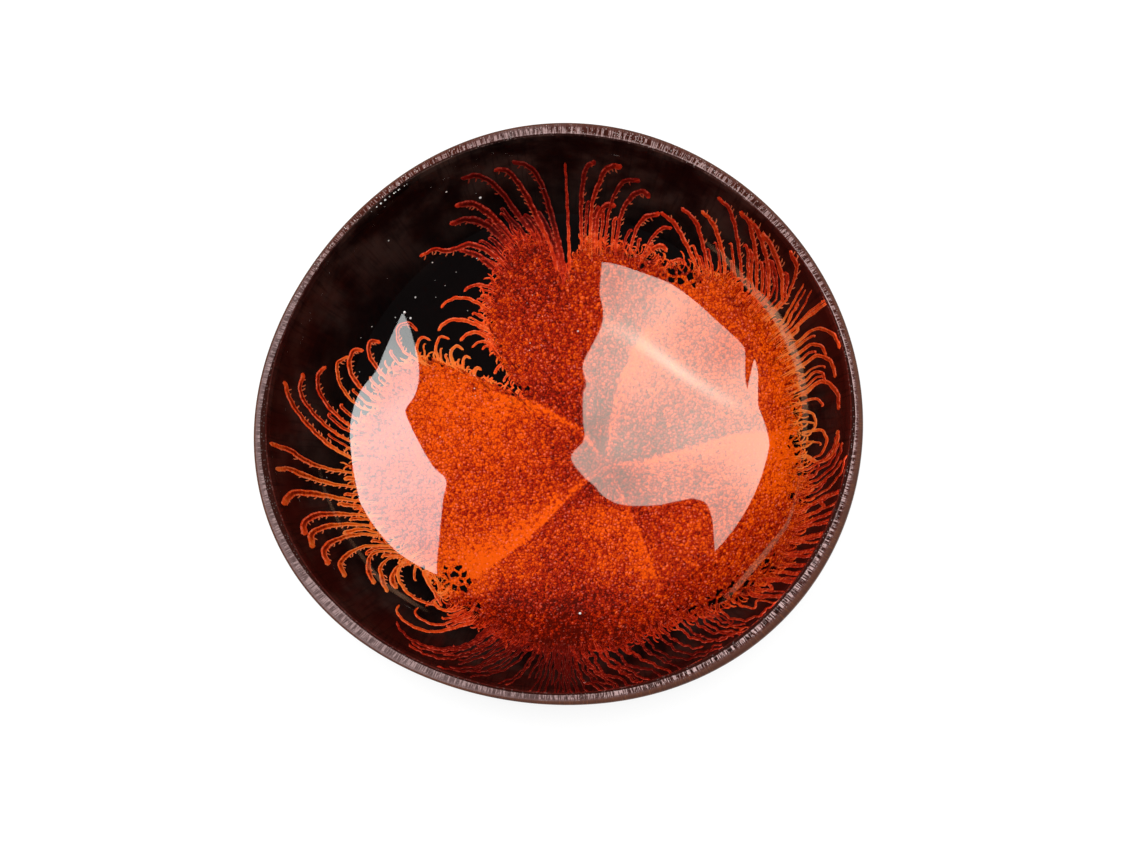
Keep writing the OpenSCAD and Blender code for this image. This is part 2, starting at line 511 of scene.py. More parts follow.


# The sawn face at every 20 degrees: width that the lacquer leaves bare in pixels, how pale it is, how strong
# its saw marks, its brown outer band, the painted highlight on the lacquer's edge and the painted glints
rimLook = {
    "bare": [8, 8, 10, 10, 12, 10, 7, 8, 8.5, 6, 8, 12, 10, 8.5, 10.5, 12, 14.5, 12, 8],
    "fresh": [0.25, 0.05, 0.1, -0.15, -0.15, 0.6, -0.4, 0.15, 0.85, 1.1, 0.95, 1.0, 0.95, 0.85, 0.6, 0.05, 0.1,
              0.1, 0.25],
    "ticks": [0.5, 0.55, 0.6, 0.6, 0.65, 0.55, 0.4, 0.4, 0.4, 0.35, 0.35, 0.4, 0.4, 0.4, 0.7, 1.0, 1.0, 0.9, 0.6],
    "brownEdge": [0.3, 0.4, 0.3, 0.5, 0.5, 0.3, 0.2, 0.1, 0.0, 0.0, 0.0, 0.0, 0.0, 0.2, 0.4, 0.5, 0.4, 0.4, 0.3],
    "lipHighlight": [0.9, 1.0, 0.3, 0.4, 0.3, 0.1, 0.0, 0.0, 0.0, 0.0, 0.0, 0.3, 0.1, 0.1, 0.1, 0.2, 0.2, 0.3, 0.7],
    "glint": [0.2, 0.3, 0.3, 0.35, 0.35, 0.3, 0.7, 0.8, 0.2, 0.1, 0.1, 0.1, 0.1, 0.1, 0.15, 0.2, 0.2, 0.2, 0.2],
}


def rimAt(key, turn):
    return np.interp(np.asarray(turn) % 360, range(0, 361, 20), rimLook[key])


# How deep the saw marks are, from 0 to 1: uneven radial nicks
def sawNicks(turn, share):
    rng = np.random.default_rng(7)
    count = shellLook["sawMarks"]
    spots = np.sort(rng.uniform(0, 360, count))
    depth = rng.uniform(0.3, 1, count) * rimAt("ticks", spots)
    width = rng.uniform(0.24, 0.45, count)
    start = rng.uniform(-0.1, 0.6, count)
    length = rng.uniform(0.3, 1.0, count)
    nicks = np.zeros(np.broadcast(turn, share).shape)
    for k in range(count):
        near = np.abs((turn - spots[k] + 180) % 360 - 180)
        hollowed = np.clip(1 - near / width[k], 0, 1)
        middle = start[k] + length[k] / 2
        inside = np.clip(1.6 - np.abs(share - middle) / length[k] * 2.6, 0, 1)
        nicks = np.maximum(nicks, depth[k] * hollowed * inside)
    return nicks


def makeShell():
    look = shellLook
    around = look["around"]
    turn = np.arange(around) * 360 / around
    rings, rising, inward, nicks = [], [], [], []

    def addRing(ring, up, within=0):
        rings.append(ring)
        rising.append(up)
        inward.append(within)

    footShare = bowl["footWidth"] / bowl["rimWidth"]
    for k in range(look["footRings"]):
        addRing(place(turn, footShare * outline(turn) * ((k + 1) / (look["footRings"] + 1)), 0), 0)
    fullWidth = sinOf(bowl["outerCut"]) ** power
    start = np.degrees(np.arcsin((footShare * fullWidth) ** (1 / power)))
    edge = bevelAt(turn)
    for k in range(look["outerRings"]):
        share = k / look["outerRings"]
        bend = start + (bowl["outerCut"] - start) * share
        lifted = cosOf(start) ** power - cosOf(bend) ** power
        lifted = lifted / (cosOf(start) ** power - cosOf(bowl["outerCut"]) ** power)
        ripple = sinOf(180 * share) ** 0.5 * look["lumps"]
        lump = ripple * (sinOf(5 * turn + 90 * share) + sinOf(11 * turn - 200 * share) * 0.6 - 1.6)
        width = outline(turn) * sinOf(bend) ** power / fullWidth + lump
        addRing(place(turn, width, (bowl["height"] - edge) * lifted), 0.02 + 0.93 * share)
    for k in range(look["edgeRings"]):
        share = k / look["edgeRings"]
        roll = 90 * share
        width = outline(turn) - edge * (1 - cosOf(roll))
        addRing(place(turn, width, bowl["height"] - edge * (1 - sinOf(roll))), 0.96 + 0.04 * share)
    bodyRings = len(rings)
    outer = outline(turn) - edge
    inner = outline(turn) - wallAt(turn)
    for share in np.linspace(0, 1, look["rimRings"] + 1):
        nicks.append(sawNicks(turn, share))
        depth = look["sawSink"] + look["sawDepth"] * nicks[-1]
        addRing(place(turn, outer + (inner - outer) * share, bowl["height"] - depth), 1, share)
    rimRings = len(rings)
    for k in range(look["innerRings"]):
        share = 0.97 * (1 - (k / look["innerRings"]) ** 1.5)
        addRing(hollowPoint(turn, max(share, 0.02), -look["innerSink"]), 1, 1)
    paintedGrooveShade = np.zeros((len(rings), around))
    paintedGrooveShade[bodyRings:rimRings] = nicks
    coated = (rimAt("bare", turn) * photo["pixel"] - edge) / (wallAt(turn) - edge)
    values = {
        "turn": byTurn(np.radians(turn), len(rings)), "rising": byRing(rising, around, (0, 1)),
        "inward": byRing(inward, around, (0, 1)), "paintedGrooveShade": np.append(paintedGrooveShade.ravel(), [0, 0]),
        "coated": byTurn(coated, len(rings)),
    }
    for key in ("fresh", "ticks", "brownEdge", "lipHighlight", "glint"):
        values[key] = byTurn(rimAt(key, turn), len(rings))
    materials = [polishedShell(), sawnFace()]
    slotOf = lambda ring: 1 if bodyRings <= ring < rimRings - 1 else 0
    first, last = [-midX, -midY, 0], [-midX, -midY, bowl["floor"]]
    piece = skinFrom("shell_body", rings, first, last, materials, slotOf, values)
    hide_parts("shell")
    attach(piece, "root")


makeShell()
print("shell made")

# Dark ground

groundLook = {
    "around": 480, "rings": 90, "lipStart": 0.9985,
    "black": "#0b0606", "maroon": "#45130d", "brown": "#42302a", "lipHighlight": "#806560",
    # How warm the lacquer is near the rim, at every 20 degrees
    "warm": [0.9, 1.0, 0.6, 0.15, 0.12, 0.03, 0.03, 0.12, 0.4, 0.5, 0.75, 0.5, 0.75, 0.75, 0.65, 0.6, 0.8, 1.0,
             0.9],
}


def darkLacquer():
    material, tree, shader = newMaterial("dark_lacquer_coat")
    look = groundLook
    where = spotOn(tree)
    high = reading(tree, "high")
    drips = useGroup(tree, fibres, {
        "Across": reading(tree, "turn"), "Along": high, "Fineness": 26.0, "Length": 2.2})
    cloud = useGroup(tree, drift, {"Vector": where, "Scale": 90.0, "Low": 0.35, "High": 0.7})["Share"]
    speckAndGlint = useGroup(tree, grains, {"Vector": where, "Scale": 1600.0})
    smudge = times(tree, cloud, fade(tree, high, 0.55, 0.85, 0.0, 0.75))
    base = blend(tree, smudge, tint(look["black"]), tint(look["brown"]))
    warm = fade(tree, plus(tree, high, times(tree, drips["Streak"], 0.4)), 0.88, 1.15)
    base = layer(tree, base, times(tree, warm, reading(tree, "warmSide")), look["maroon"])
    base = layer(tree, base, drips["Line"], look["black"], 0.35)
    # Painted highlight: pale spots along the lacquer's top edge at the rim
    lipHighlight = times(tree, reading(tree, "lipHighlight"), fade(tree, speckAndGlint["Even"], 0.56, 0.66, 0.0, 0.2))
    base = layer(tree, base, lipHighlight, look["lipHighlight"])
    feed(tree, shader, {"Base Color": dimmedInMirror(tree, base), "Roughness": 0.6, "Specular IOR Level": 0.0})
    return material


def coatRings(around, rings, lift, first=0.03):
    turn = np.arange(around) * 360 / around
    shares = np.linspace(first, 1, rings)
    return turn, shares, [hollowPoint(turn, share, lift) for share in shares]


def makeGround():
    look = groundLook
    around = look["around"]
    turn, shares, under = coatRings(around, 24, 0.0)
    turn, sharesTop, top = coatRings(around, look["rings"], bowl["ground"])
    sharesTop = np.insert(sharesTop, -1, look["lipStart"])
    top.insert(-1, hollowPoint(turn, look["lipStart"], bowl["ground"]))
    rings = under + top[::-1]
    high = np.concatenate([shares, sharesTop[::-1]])
    values = {
        "turn": byTurn(np.radians(turn), len(rings)), "high": byRing(high, around),
        "lipHighlight": byRing(np.where(high >= 1, 1.0, 0.0), around),
        "warmSide": byTurn(np.interp(turn, range(0, 361, 20), look["warm"]), len(rings)),
    }
    first = [-midX, -midY, bowl["floor"]]
    last = [-midX, -midY, bowl["floor"] + bowl["ground"]]
    piece = skinFrom("dark_ground", rings, first, last, [darkLacquer()], None, values)
    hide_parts("ground_coat")
    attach(piece, "root")


makeGround()
print("ground made")

# Poured colour: the body of the flow. Points and directions are pixels of the photograph

flowLook = {
    "around": 900, "rings": 150, "underRings": 30, "pole": (605, 465), "ragged": 0.0009, "thinFrom": 0.86,
    "cells": 1220.0, "wander": 1.3, "mottle": 0.75, "paintedDomeShade": 0.32, "own": 0.42, "gap": 0.5,
    "deep": "#550e06", "red": "#b4220a", "orange": "#ff5e07", "pale": "#ff8c7a", "black": "#080303",
}

pole = pixelPlan([flowLook["pole"]])[0]  # where the seams meet

# Where the body of the colour ends: direction from the middle of the picture's bowl, and pixels
flowMiddle = (561, 419)
flowEdge = [
    (0, 238), (12, 240), (22, 238), (32, 228), (40, 222), (48, 205), (56, 190), (64, 186), (75, 180),
    (82, 182), (85, 166), (88, 146), (92, 150), (94, 174), (97, 188), (105, 186), (111, 166), (118, 148),
    (124, 136), (130, 112), (136, 90), (142, 60), (148, 42), (152, 60), (154, 112), (155, 150), (159, 160),
    (164, 178), (168, 183), (174, 186), (178, 192), (182, 204), (187, 211), (195, 214), (205, 216),
    (215, 211), (222, 204), (230, 202), (238, 214), (245, 220), (255, 226), (270, 234), (285, 236),
    (296, 232), (305, 240), (315, 256), (325, 268), (335, 267), (345, 256), (353, 243),
]

# Seams where two fans meet: the points, the bright side's width in millimetres, its strength and which side it is
seams = {
    "up": {"width": 4.5, "bright": 1.0, "side": -1, "line": [
        (608, 463), (610, 425), (617, 390), (630, 357), (640, 335), (650, 310)]},
    "right": {"width": 5, "bright": 1.0, "side": -1, "line": [
        (609, 465), (645, 460), (677, 452), (710, 442), (740, 435), (790, 432)]},
    "lowerLeft": {"width": 4.6, "bright": 1.0, "side": -1, "line": [
        (608, 466), (576, 490), (540, 526), (512, 550), (488, 566), (458, 588)]},
    "upperLeft": {"width": 4.0, "bright": 0.95, "side": 1, "line": [
        (604, 462), (582, 430), (556, 415), (532, 402), (500, 394), (480, 380)]},
    "lowerRight": {"width": 2.6, "bright": 0.7, "side": -1, "line": [
        (607, 468), (620, 490), (634, 522), (650, 560), (662, 600)]},
}
# All in millimetres: how far out a seam is at its full width, its shares of that, how sharp its one side is, the
# way on which it fades at each end, and how dark and how wide the dusk beside it is
seamLook = {
    "fullAt": 22, "narrowest": 0.22, "widest": 1.3, "sharp": 0.3, "endFade": 7, "poleFade": 5, "dusk": 0.45,
    "duskWidth": 5,
}

# How bright the colour is at a few places, from 0 to 1
tones = [
    (440, 400, 0.86), (430, 372, 0.84), (440, 450, 0.78), (480, 430, 0.74), (520, 450, 0.66),
    (470, 480, 0.66), (450, 520, 0.62), (500, 500, 0.5), (560, 460, 0.52), (540, 480, 0.5),
    (480, 570, 0.9), (450, 575, 0.85), (380, 430, 0.75), (352, 480, 0.74), (376, 530, 0.76),
    (520, 300, 0.36), (500, 340, 0.55), (550, 330, 0.42), (560, 400, 0.42), (545, 260, 0.3),
    (590, 250, 0.62), (590, 310, 0.5), (585, 370, 0.5), (650, 380, 0.6), (700, 300, 0.72), (760, 340, 0.7),
    (790, 380, 0.82), (800, 430, 0.95), (780, 480, 0.85), (790, 520, 0.54), (760, 560, 0.56),
    (720, 590, 0.45), (690, 540, 0.6), (645, 560, 0.66), (640, 610, 0.38), (680, 620, 0.32),
    (595, 430, 0.22), (590, 405, 0.32), (597, 450, 0.2), (622, 478, 0.16), (606, 488, 0.24),
    (640, 450, 0.34), (622, 452, 0.28), (578, 466, 0.26), (645, 488, 0.42), (660, 470, 0.5),
    (600, 560, 0.62), (600, 515, 0.78), (560, 520, 0.62), (560, 570, 0.38), (520, 560, 0.7),
    (600, 600, 0.26), (510, 610, 0.18), (570, 620, 0.0), (560, 660, 0.0), (620, 640, 0.12),
    (470, 620, 0.26), (300, 400, 0.5), (285, 455, 0.46), (300, 520, 0.42), (340, 570, 0.5),
    (395, 590, 0.75), (350, 350, 0.66), (500, 180, 0.03), (470, 205, 0.12), (520, 200, 0.08),
    (545, 190, 0.05), (455, 232, 0.3), (435, 250, 0.4), (530, 250, 0.36), (455, 300, 0.56),
    (445, 335, 0.62), (480, 365, 0.72), (570, 190, 0.2), (600, 180, 0.1), (625, 175, 0.14),
    (640, 200, 0.26), (612, 225, 0.4), (660, 240, 0.5), (700, 225, 0.5), (745, 225, 0.42), (785, 260, 0.4),
    (830, 350, 0.5), (840, 410, 0.52), (842, 470, 0.46), (830, 510, 0.44), (812, 552, 0.32),
    (740, 620, 0.46), (700, 640, 0.26), (680, 664, 0.1), (640, 672, 0.05), (560, 690, 0.08),
    (480, 672, 0.16), (410, 640, 0.46), (400, 610, 0.5),
]

# Where the colour opens into a lace of holes: the place, its radius in pixels and its strength
laces = [
    (455, 578, 26, 1.0), (418, 588, 22, 0.9), (470, 606, 22, 0.8), (800, 440, 20, 1.0),
    (804, 402, 22, 1.1), (812, 372, 18, 1.0), (806, 346, 18, 0.95), (424, 356, 16, 0.9),
    (446, 364, 14, 0.7), (520, 392, 16, 0.9), (498, 350, 16, 0.8), (494, 318, 14, 0.7),
    (684, 266, 30, 1.15), (644, 252, 22, 1.0), (600, 240, 12, 0.4), (690, 618, 26, 0.9),
    (716, 604, 24, 0.9), (740, 590, 26, 0.95), (770, 566, 22, 0.85), (802, 500, 20, 0.85),
    (804, 470, 20, 0.95), (512, 246, 16, 0.6), (384, 548, 24, 0.7), (362, 490, 22, 0.6),
    (352, 420, 22, 0.7), (500, 640, 22, 0.6), (640, 632, 22, 0.6),
]
toneSpots, laceSpots = (pixelPlan([row[:2] for row in rows]) for rows in (tones, laces))


def toneAt(x, y):
    tone, weight = np.zeros(np.shape(x)), np.zeros(np.shape(x))
    for (_, _, value), spot in zip(tones, toneSpots):
        near = 1 / ((x - spot[0]) ** 2 + (y - spot[1]) ** 2 + 0.000012) ** 1.8
        tone += near * value
        weight += near
    return tone / weight


def laceAt(x, y):
    openness = np.zeros(np.shape(x))
    for (_, _, radius, strength), spot in zip(laces, laceSpots):
        away = np.hypot(x - spot[0], y - spot[1]) / (radius * photo["pixel"])
        openness = np.maximum(openness, strength * np.exp(-away ** 2))
    return openness


# The colour's own shade, from deep red through red to orange, with glow for the seams' bright side
def lacquerShade(tree, tone, glow, grain):
    look = flowLook
    level = plus(tree, tone, swing(tree, grain["Even"], look["mottle"]))
    # Painted shade of each grain's dome, lit from the upper left
    level = plus(tree, level, times(tree, grain["PaintedDomeShade"], look["paintedDomeShade"]))
    level = plus(tree, level, swing(tree, grain["Own"], look["own"]))
    gap = times(tree, fade(tree, grain["Net"], 0.12, 0.0), look["gap"], fade(tree, glow, 0.0, 1.0, 1.0, 0.4))
    level = plus(tree, minus(tree, level, gap), times(tree, glow, 0.45))
    base = blend(tree, fade(tree, level, -0.15, 0.42), tint(look["deep"]), tint(look["red"]))
    base = layer(tree, base, fade(tree, level, 0.3, 0.95), look["orange"])
    # Painted highlight spots on the grains, in the pale colour
    pale = times(tree, grain["Light"], fade(tree, tone, 0.0, 0.9, 0.24, 0.42))
    return layer(tree, base, pale, look["pale"])


def pouredOrange():
    material, tree, shader = newMaterial("poured_orange")
    look = flowLook
    where = spotOn(tree)
    tone = reading(tree, "tone")
    inset = reading(tree, "inset")
    streak = useGroup(tree, fibres, {
        "Across": reading(tree, "flowAcross"), "Along": reading(tree, "flowAlong"), "Fineness": 46.0,
        "Length": 420.0})["Streak"]
    grain = useGroup(tree, grains, {"Vector": where, "Scale": look["cells"], "Wander": look["wander"]})
    glow = times(tree, reading(tree, "glow"), fade(tree, grain["Even"], 0.3, 0.6, 0.55, 1.0))
    combed = swing(tree, streak, fade(tree, tone, 0.15, 0.6, 1.7, 0.8))
    base = lacquerShade(tree, plus(tree, tone, combed), glow, grain)
    between = times(tree, fade(tree, streak, 0.5, 0.36), fade(tree, inset, 5.5, 1.0), 0.6)
    base = blend(tree, between, base, tint(look["deep"], 0.6))
    # Holes: wide ones where the colour opens into lace, and small ones along the edge of the body
    wide = useGroup(tree, grains, {"Vector": where, "Scale": 430.0, "Wander": 0.5})
    limit = fade(tree, plus(tree, reading(tree, "lace"), swing(tree, grain["Even"], 0.5)), 0.1, 1.0, 0.62, 0.1)
    hole = fade(tree, minus(tree, wide["Net"], limit), -0.015, 0.02)
    nearEdge = plus(tree, fade(tree, inset, 5.5, 0.2), minus(tree, streak, 0.55))
    small = minus(tree, grain["Net"], fade(tree, nearEdge, 0.4, 1.3, 0.6, 0.12))
    base = layer(tree, base, calc(tree, "MAXIMUM", hole, fade(tree, small, -0.02, 0.03)), look["black"])
    feed(tree, shader, {"Base Color": dimmedInMirror(tree, base), "Roughness": 0.55, "Specular IOR Level": 0.0})
    raised(tree, shader, grain["Net"], 0.00006, 0.5)
    return material


def smoothAround(turns, values, wanted):
    order = np.argsort(turns)
    turns = turns[order]
    turns = np.concatenate([turns - 360, turns, turns + 360])
    plain = np.interp(wanted, turns, np.tile(values[order], 3))
    kernel = np.hanning(9)
    padded = np.concatenate([plain[-8:], plain, plain[:8]])
    return np.convolve(padded, kernel / kernel.sum(), "same")[8:-8]


def flowReach(turn):
    ways, reach = np.array(flowEdge, float).T
    plan = pixelPlan(np.stack([flowMiddle[0] + reach * cosOf(ways), flowMiddle[1] - reach * sinOf(ways)], -1))
    smooth = smoothAround(*turnAndShare(plan[:, 0], plan[:, 1]), turn)
    rng = np.random.default_rng(5)
    rough = np.zeros(len(turn))
    for waves, size in ((37, 0.5), (83, 0.7), (151, 0.9), (229, 0.7)):
        rough += size * sinOf(waves * turn + rng.uniform(0, 360) + 60 * sinOf(rng.integers(3, 9) * turn))
    return smooth + rough * flowLook["ragged"] / (bowl["rimWidth"] / 2)


# Signed distance in millimetres to a line in plan, above zero on the line's left
def besideLine(x, y, line):
    best = np.full(x.shape, 1e9)
    signed = np.zeros(x.shape)
    for a, b in zip(line[:-1], line[1:]):
        step = b - a
        along = ((x - a[0]) * step[0] + (y - a[1]) * step[1]) / (step @ step)
        clamped = np.clip(along, 0, 1)
        away = np.hypot(x - a[0] - clamped * step[0], y - a[1] - clamped * step[1])
        side = np.sign(step[0] * (y - a[1]) - step[1] * (x - a[0]))
        closer = away < best
        signed = np.where(closer, away * side, signed)
        best = np.minimum(best, away)
    return signed * 1000


def seamGlow(x, y):
    look = seamLook
    glow, dusk = np.zeros(x.shape), np.zeros(x.shape)
    gone = np.hypot(x - pole[0], y - pole[1]) * 1000
    for seam in seams.values():
        line = smoothPath(pixelPlan(seam["line"]), 0.001)
        apart = besideLine(x, y, line) * seam["side"]
        width = seam["width"] * np.clip(gone / look["fullAt"], look["narrowest"], look["widest"])
        beyond = np.exp(np.minimum(apart, 0) / look["sharp"])
        lit = np.where(apart > 0, np.exp(-(np.maximum(apart, 0) / width) ** 1.3), beyond)
        ends = np.hypot(x - line[-1][0], y - line[-1][1]) * 1000
        gain = seam["bright"] * np.clip(ends / look["endFade"], 0.25, 1)
        gain = gain * np.clip(gone / look["poleFade"], 0.3, 1)
        glow = np.maximum(glow, gain * lit)
        dark = (1 - beyond) * np.exp(apart / look["duskWidth"])
        dusk = np.maximum(dusk, gain * np.where(apart < 0, dark, 0))
    return glow - look["dusk"] * dusk * np.clip(1 - 2 * glow, 0, 1)


def makeFlowBody():
    look = flowLook
    turn = np.arange(look["around"]) * 360 / look["around"]
    reach = flowReach(turn)
    shares = np.linspace(0.02, 1, look["rings"])[:, None]
    # The body thins out towards its border, and the strands' roots come up out of it
    thin = np.clip((shares - look["thinFrom"]) / (1 - look["thinFrom"]), 0, 1)
    top = hollowPoint(turn, shares * reach, bowl["ground"] + bowl["colour"] * (0.9 - 0.5 * thin))
    lowest = bowl["ground"] - bowl["overlap"]
    under = hollowPoint(turn, np.linspace(0.02, 1, look["underRings"])[:, None] * reach, lowest)
    rings = np.concatenate([under, top[::-1]])
    x, y = rings[..., 0], rings[..., 1]
    border = hollowPoint(turn, reach, bowl["ground"])[:, :2]
    inset = np.hypot(x - border[:, 0], y - border[:, 1])
    for spot in border[::2]:
        inset = np.minimum(inset, np.hypot(x - spot[0], y - spot[1]))
    values = {
        "inset": inset * 1000, "tone": toneAt(x, y), "glow": seamGlow(x, y), "lace": laceAt(x, y),
        "flowAlong": np.hypot(x - pole[0], y - pole[1]), "flowAcross": np.arctan2(y - pole[1], x - pole[0]),
    }
    values = {key: np.append(grid.ravel(), [grid[0, 0], grid[-1, 0]]) for key, grid in values.items()}
    first = hollowPoint(0, 0.0, lowest)
    last = hollowPoint(0, 0.0, bowl["ground"] + bowl["colour"] * 0.9)
    piece = skinFrom("flow_body", rings, first, last, [pouredOrange()], None, values)
    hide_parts("colour_flow")
    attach(piece, "root")
    return border


flowBorder = makeFlowBody()
print("flow body made")

